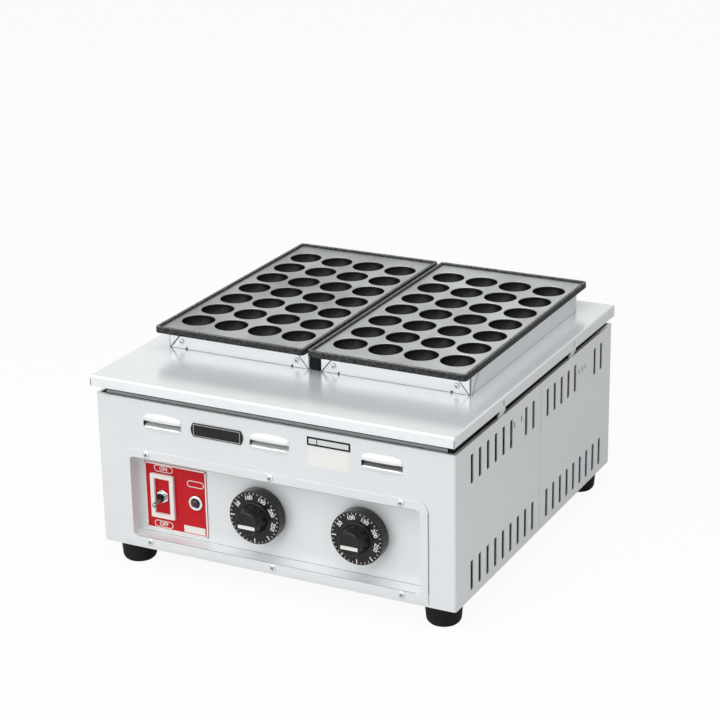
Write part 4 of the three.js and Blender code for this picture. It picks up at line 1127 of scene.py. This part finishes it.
def collars():
    """Both collars with their screws, lines and welds, and the bar between them."""
    for side in SIDES:
        refined(f"collar_{side}", "collar_steel", COLLAR_EASE)
        low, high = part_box(f"collar_{side}")
        plate_low, plate_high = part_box(f"cooking_plate_{side}")
        middle = (plate_low.x + plate_high.x) / 2
        face = low.y + LAP_SHEET * MM
        for number, hand in enumerate(SIDES.values()):
            x = middle + hand * COLLAR_SCREW_SPREAD * MM
            place = (x, face - COLLAR_SCREW_LIFT * MM, low.z + COLLAR_SCREW_RISE * MM)
            names = (f"collar_screw_{side}_{number + 1}", f"collar_screw_recess_{side}_{number + 1}")
            turn = COLLAR_SCREW_TURNS[number]
            screw(names, place, COLLAR_SCREW_RADIUS, COLLAR_SCREW_HEIGHT, turn, COLLAR_SCREW_LIFT)
        collar_fold_lines(side, low, high, middle)
        tack_welds(side, low, middle)
    refined("centre_divider", "black_steel", BAR_EASE, segments=3)


def collar_fold_lines(side, low, high, middle):
    """The slanted edges of the laps at a collar's front corners, and the corners themselves."""
    lines = bmesh.new()
    height = Vector((0.0, 0.0, high.z - low.z))
    for hand in SIDES.values():
        foot = Vector((middle + hand * LAP_FOOT * MM, low.y, low.z))
        slant = Vector((-hand * LAP_WIDTH * MM, 0.0, 0.0))
        fold_line(lines, foot, foot + height + slant, FRONT)
        corner = foot + Vector((hand * CORNER_LINE[0], CORNER_LINE[1], 0.0)) * MM
        fold_line(lines, corner, corner + height, (hand, -1.0, 0.0))
    outer = high.x if side == "right" else low.x
    foot = Vector((outer, low.y + SIDE_LINE_SETBACK * MM, low.z))
    slant = Vector((0.0, LAP_WIDTH * MM, 0.0))
    fold_line(lines, foot, foot + height + slant, (SIDES[side], 0.0, 0.0))
    finished(f"collar_fold_lines_{side}", lines, "black_steel")


def tack_welds(side, low, middle):
    """Two weld spots at the foot of a collar's front."""
    welds = bmesh.new()
    for hand in SIDES.values():
        place = (middle + hand * TACK_SPREAD * MM, low.y + LAP_SHEET * MM, low.z + TACK_RISE * MM)
        turned(welds, TACK_OUTLINE, place, FORWARD, steps=16)
    finished(f"collar_tack_welds_{side}", welds, "sheath")


# Feet, brackets and the plates on the front

FOOT_OUTLINE = [
    (2.8, 29.7),
    (2.8, 12.0),
    (8.0, 12.0),
    (8.0, 0.6),
    (8.6, 0.0),
    (15.4, 0.0),
    (17.2, 0.6),
    (19.0, 2.4),
    (20.2, 4.6),
    (20.6, 6.5),
    (22.4, 28.6),
    (22.2, 29.4),
    (21.6, 29.7),
    (2.8, 29.7),
]
BRACKET_EASE = 0.2
BUSHING_EASE = 0.4
BADGE_EASE = 0.3
BADGE_MARGINS = (7.0, 2.6)
BADGE_LINE = (0.8, 0.5, 0.1)  # corner, width and depth
BADGE_LINE_SINK = 0.03
RATING_BOUNDS = (49.0, 104.0, 202.0, 212.5)
RATING_CORNER = 0.8
RATING_LINE = 2.2
RATING_DEPTH = 0.25
RATING_BAR_SHARES = (-0.28, -0.26)
RATING_BAR_HALF = 4.0
RATING_PLATE_MARGIN = 1.0
RATING_PLATE = (0.6, 0.15)  # corner and depth
STICKER_BOUNDS = (49.5, 101.4, 177.0, 199.5)
STICKER = (1.0, 0.1)  # corner and depth


def feet():
    """Round rubber feet that narrow toward the floor."""
    for end in ("front", "back"):
        for side in SIDES:
            low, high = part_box(f"foot_bolt_{end}_{side}")
            node = f"foot_{end}_{side}"
            bm = bmesh.new()
            turned(bm, FOOT_OUTLINE, ((low.x + high.x) / 2, (low.y + high.y) / 2, 0.0))
            finished(node + "_finished", bm, "rubber", replaced=[node], angle=50.0)


def badge():
    """The bare badge plate, with a thin line inside its edge."""
    refined("badge_plate", "black_plastic", BADGE_EASE)
    low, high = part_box("badge_plate")
    size = (high - low) / MM
    line = band(size.x - BADGE_MARGINS[0], size.z - BADGE_MARGINS[1], *BADGE_LINE)
    shifted(line, ((low.x + high.x) / 2, low.y + BADGE_LINE_SINK * MM, (low.z + high.z) / 2))
    finished("badge_line", line, "zinc_steel")


def rating_marks():
    """The bare outlined strip and the bare pale sticker under it."""
    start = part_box("badge_plate")[1].y + (SEAT - PRINT_SINK) * MM
    left, right, foot, head = RATING_BOUNDS
    width, height = right - left, head - foot
    outline = band(width, height, RATING_CORNER, RATING_LINE, RATING_DEPTH)
    bar_left, bar_right = (share * width * MM for share in RATING_BAR_SHARES)
    half = RATING_BAR_HALF * MM
    box(outline, (bar_left, -RATING_DEPTH * MM, -half), (bar_right, 0.0, half))
    finished("rating_frame", on_face(outline, RATING_BOUNDS, start), "black_plastic")
    plate = plaque(width - RATING_PLATE_MARGIN, height - RATING_PLATE_MARGIN, *RATING_PLATE)
    finished("rating_strip", on_face(plate, RATING_BOUNDS, start), "collar_steel")
    left, right, foot, head = STICKER_BOUNDS
    sticker = plaque(right - left, head - foot, *STICKER)
    on_face(sticker, STICKER_BOUNDS, start)
    finished("blank_sticker", sticker, "white_enamel", finish=STICKER_PAPER)


def small_parts():
    """The cover's brackets and the inlet's bushing with eased edges."""
    for end in ("front", "back"):
        for side in SIDES:
            refined(f"cover_bracket_{end}_{side}", "collar_steel", BRACKET_EASE)
    refined("inlet_bushing", "rubber", BUSHING_EASE)


def dress_cad_nodes():
    """The CAD nodes that stay take their slot's finish, save the support frame, which takes near-black
    steel as painted shade.
    """
    slots = {entry["node"]: entry["material_slot"] for entry in frame["record"]["subparts"]}
    for name, node in nodes.items():
        node.data.materials.clear()
        node.data.materials.append(FRAME_PAINTED_SHADE_STEEL if name == "support_frame" else finishes[slots[name]])


# Floor, light and camera

FLOOR_HALF = 6.0  # metres
FLOOR_DROP = 0.0002  # metres
AMBIENT = 0.18
BACKDROP_SHARE = 0.94
MIRRORED_SHARE = 0.25
LAMP_AIM = (0.0, 0.0, 0.15)  # metres
# Each lamp's place and size in metres, and its power in watts
LAMPS = {
    "key_softbox": ((-1.4, -2.9, 2.3), 3.6, 86.0),
    "top_softbox": ((0.5, -0.9, 2.7), 2.4, 42.0),
}
CAMERA_PLACE = (1.12299, -2.19186, 1.12135)  # metres
CAMERA_TURN = (69.8623, 0.9206, 26.8227)
CAMERA_LENS = 107.02
CAMERA_SENSOR = 36.0
CAMERA_CLIP = 0.05  # metres


def studio_floor():
    """A pale floor that takes shadows, and is white to the camera and dimly so in mirror images."""
    paint = Finish("pale_floor")
    paint.feed("Base Color", shade(0.86))
    paint.feed("Roughness", 0.9)
    seen = paint.rays("Camera") * BACKDROP_SHARE
    share = seen + paint.rays("Glossy", "Transmission") * MIRRORED_SHARE
    backdrop = paint.add("ShaderNodeEmission", {}, {"Color": WHITE, "Strength": 1.0})
    lit = Wire(paint, paint.shader.outputs[0])
    surface = paint.add("ShaderNodeMixShader", {}, {0: share, 1: lit, 2: backdrop})
    paint.plug(paint.tree.nodes["Material Output"].inputs["Surface"], surface)
    bm = bmesh.new()
    bmesh.ops.create_grid(bm, x_segments=1, y_segments=1, size=FLOOR_HALF)
    mesh = meshed(bm, "floor")
    mesh.materials.append(paint.material)
    floor = bpy.data.objects.new("floor", mesh)
    floor.location.z = -FLOOR_DROP
    bpy.context.scene.collection.objects.link(floor)


def surroundings():
    """White to the camera and in mirror images, and dim to everything else."""
    world = bpy.data.worlds.new("studio")
    bpy.context.scene.world = world
    world.use_nodes = True
    sky = Nodes(world.node_tree)
    background = sky.tree.nodes["Background"]
    sky.plug(background.inputs["Color"], WHITE)
    shown = sky.rays("Camera", "Glossy", "Transmission")
    sky.plug(background.inputs["Strength"], shown * (1.0 - AMBIENT) + AMBIENT)


def soft_lamp(name, place, size, power):
    """A square lamp that faces the object."""
    lamp = bpy.data.lights.new(name, "AREA")
    lamp.shape = "SQUARE"
    lamp.size = size
    lamp.energy = power
    holder = bpy.data.objects.new(name, lamp)
    holder.location = place
    aim = Vector(LAMP_AIM) - Vector(place)
    holder.rotation_euler = aim.to_track_quat("-Z", "Y").to_euler()
    bpy.context.scene.collection.objects.link(holder)


def camera():
    """The view from the front and a little to the right, from above."""
    lens = bpy.data.cameras.new("camera")
    lens.lens = CAMERA_LENS
    lens.sensor_width = CAMERA_SENSOR
    lens.clip_start = CAMERA_CLIP
    holder = bpy.data.objects.new("camera", lens)
    holder.location = CAMERA_PLACE
    holder.rotation_euler = Euler([math.radians(a) for a in CAMERA_TURN])
    bpy.context.scene.collection.objects.link(holder)
    bpy.context.scene.camera = holder


dress_cad_nodes()
cabinet()
top_cover()
deck_trim()
control_panel()
for plate_side in SIDES:
    cooking_plate(plate_side)
collars()
feet()
badge()
rating_marks()
small_parts()
studio_floor()
surroundings()
for lamp_name, (lamp_place, lamp_size, lamp_power) in LAMPS.items():
    soft_lamp(lamp_name, lamp_place, lamp_size, lamp_power)
camera()
bpy.context.scene.view_settings.view_transform = "Standard"
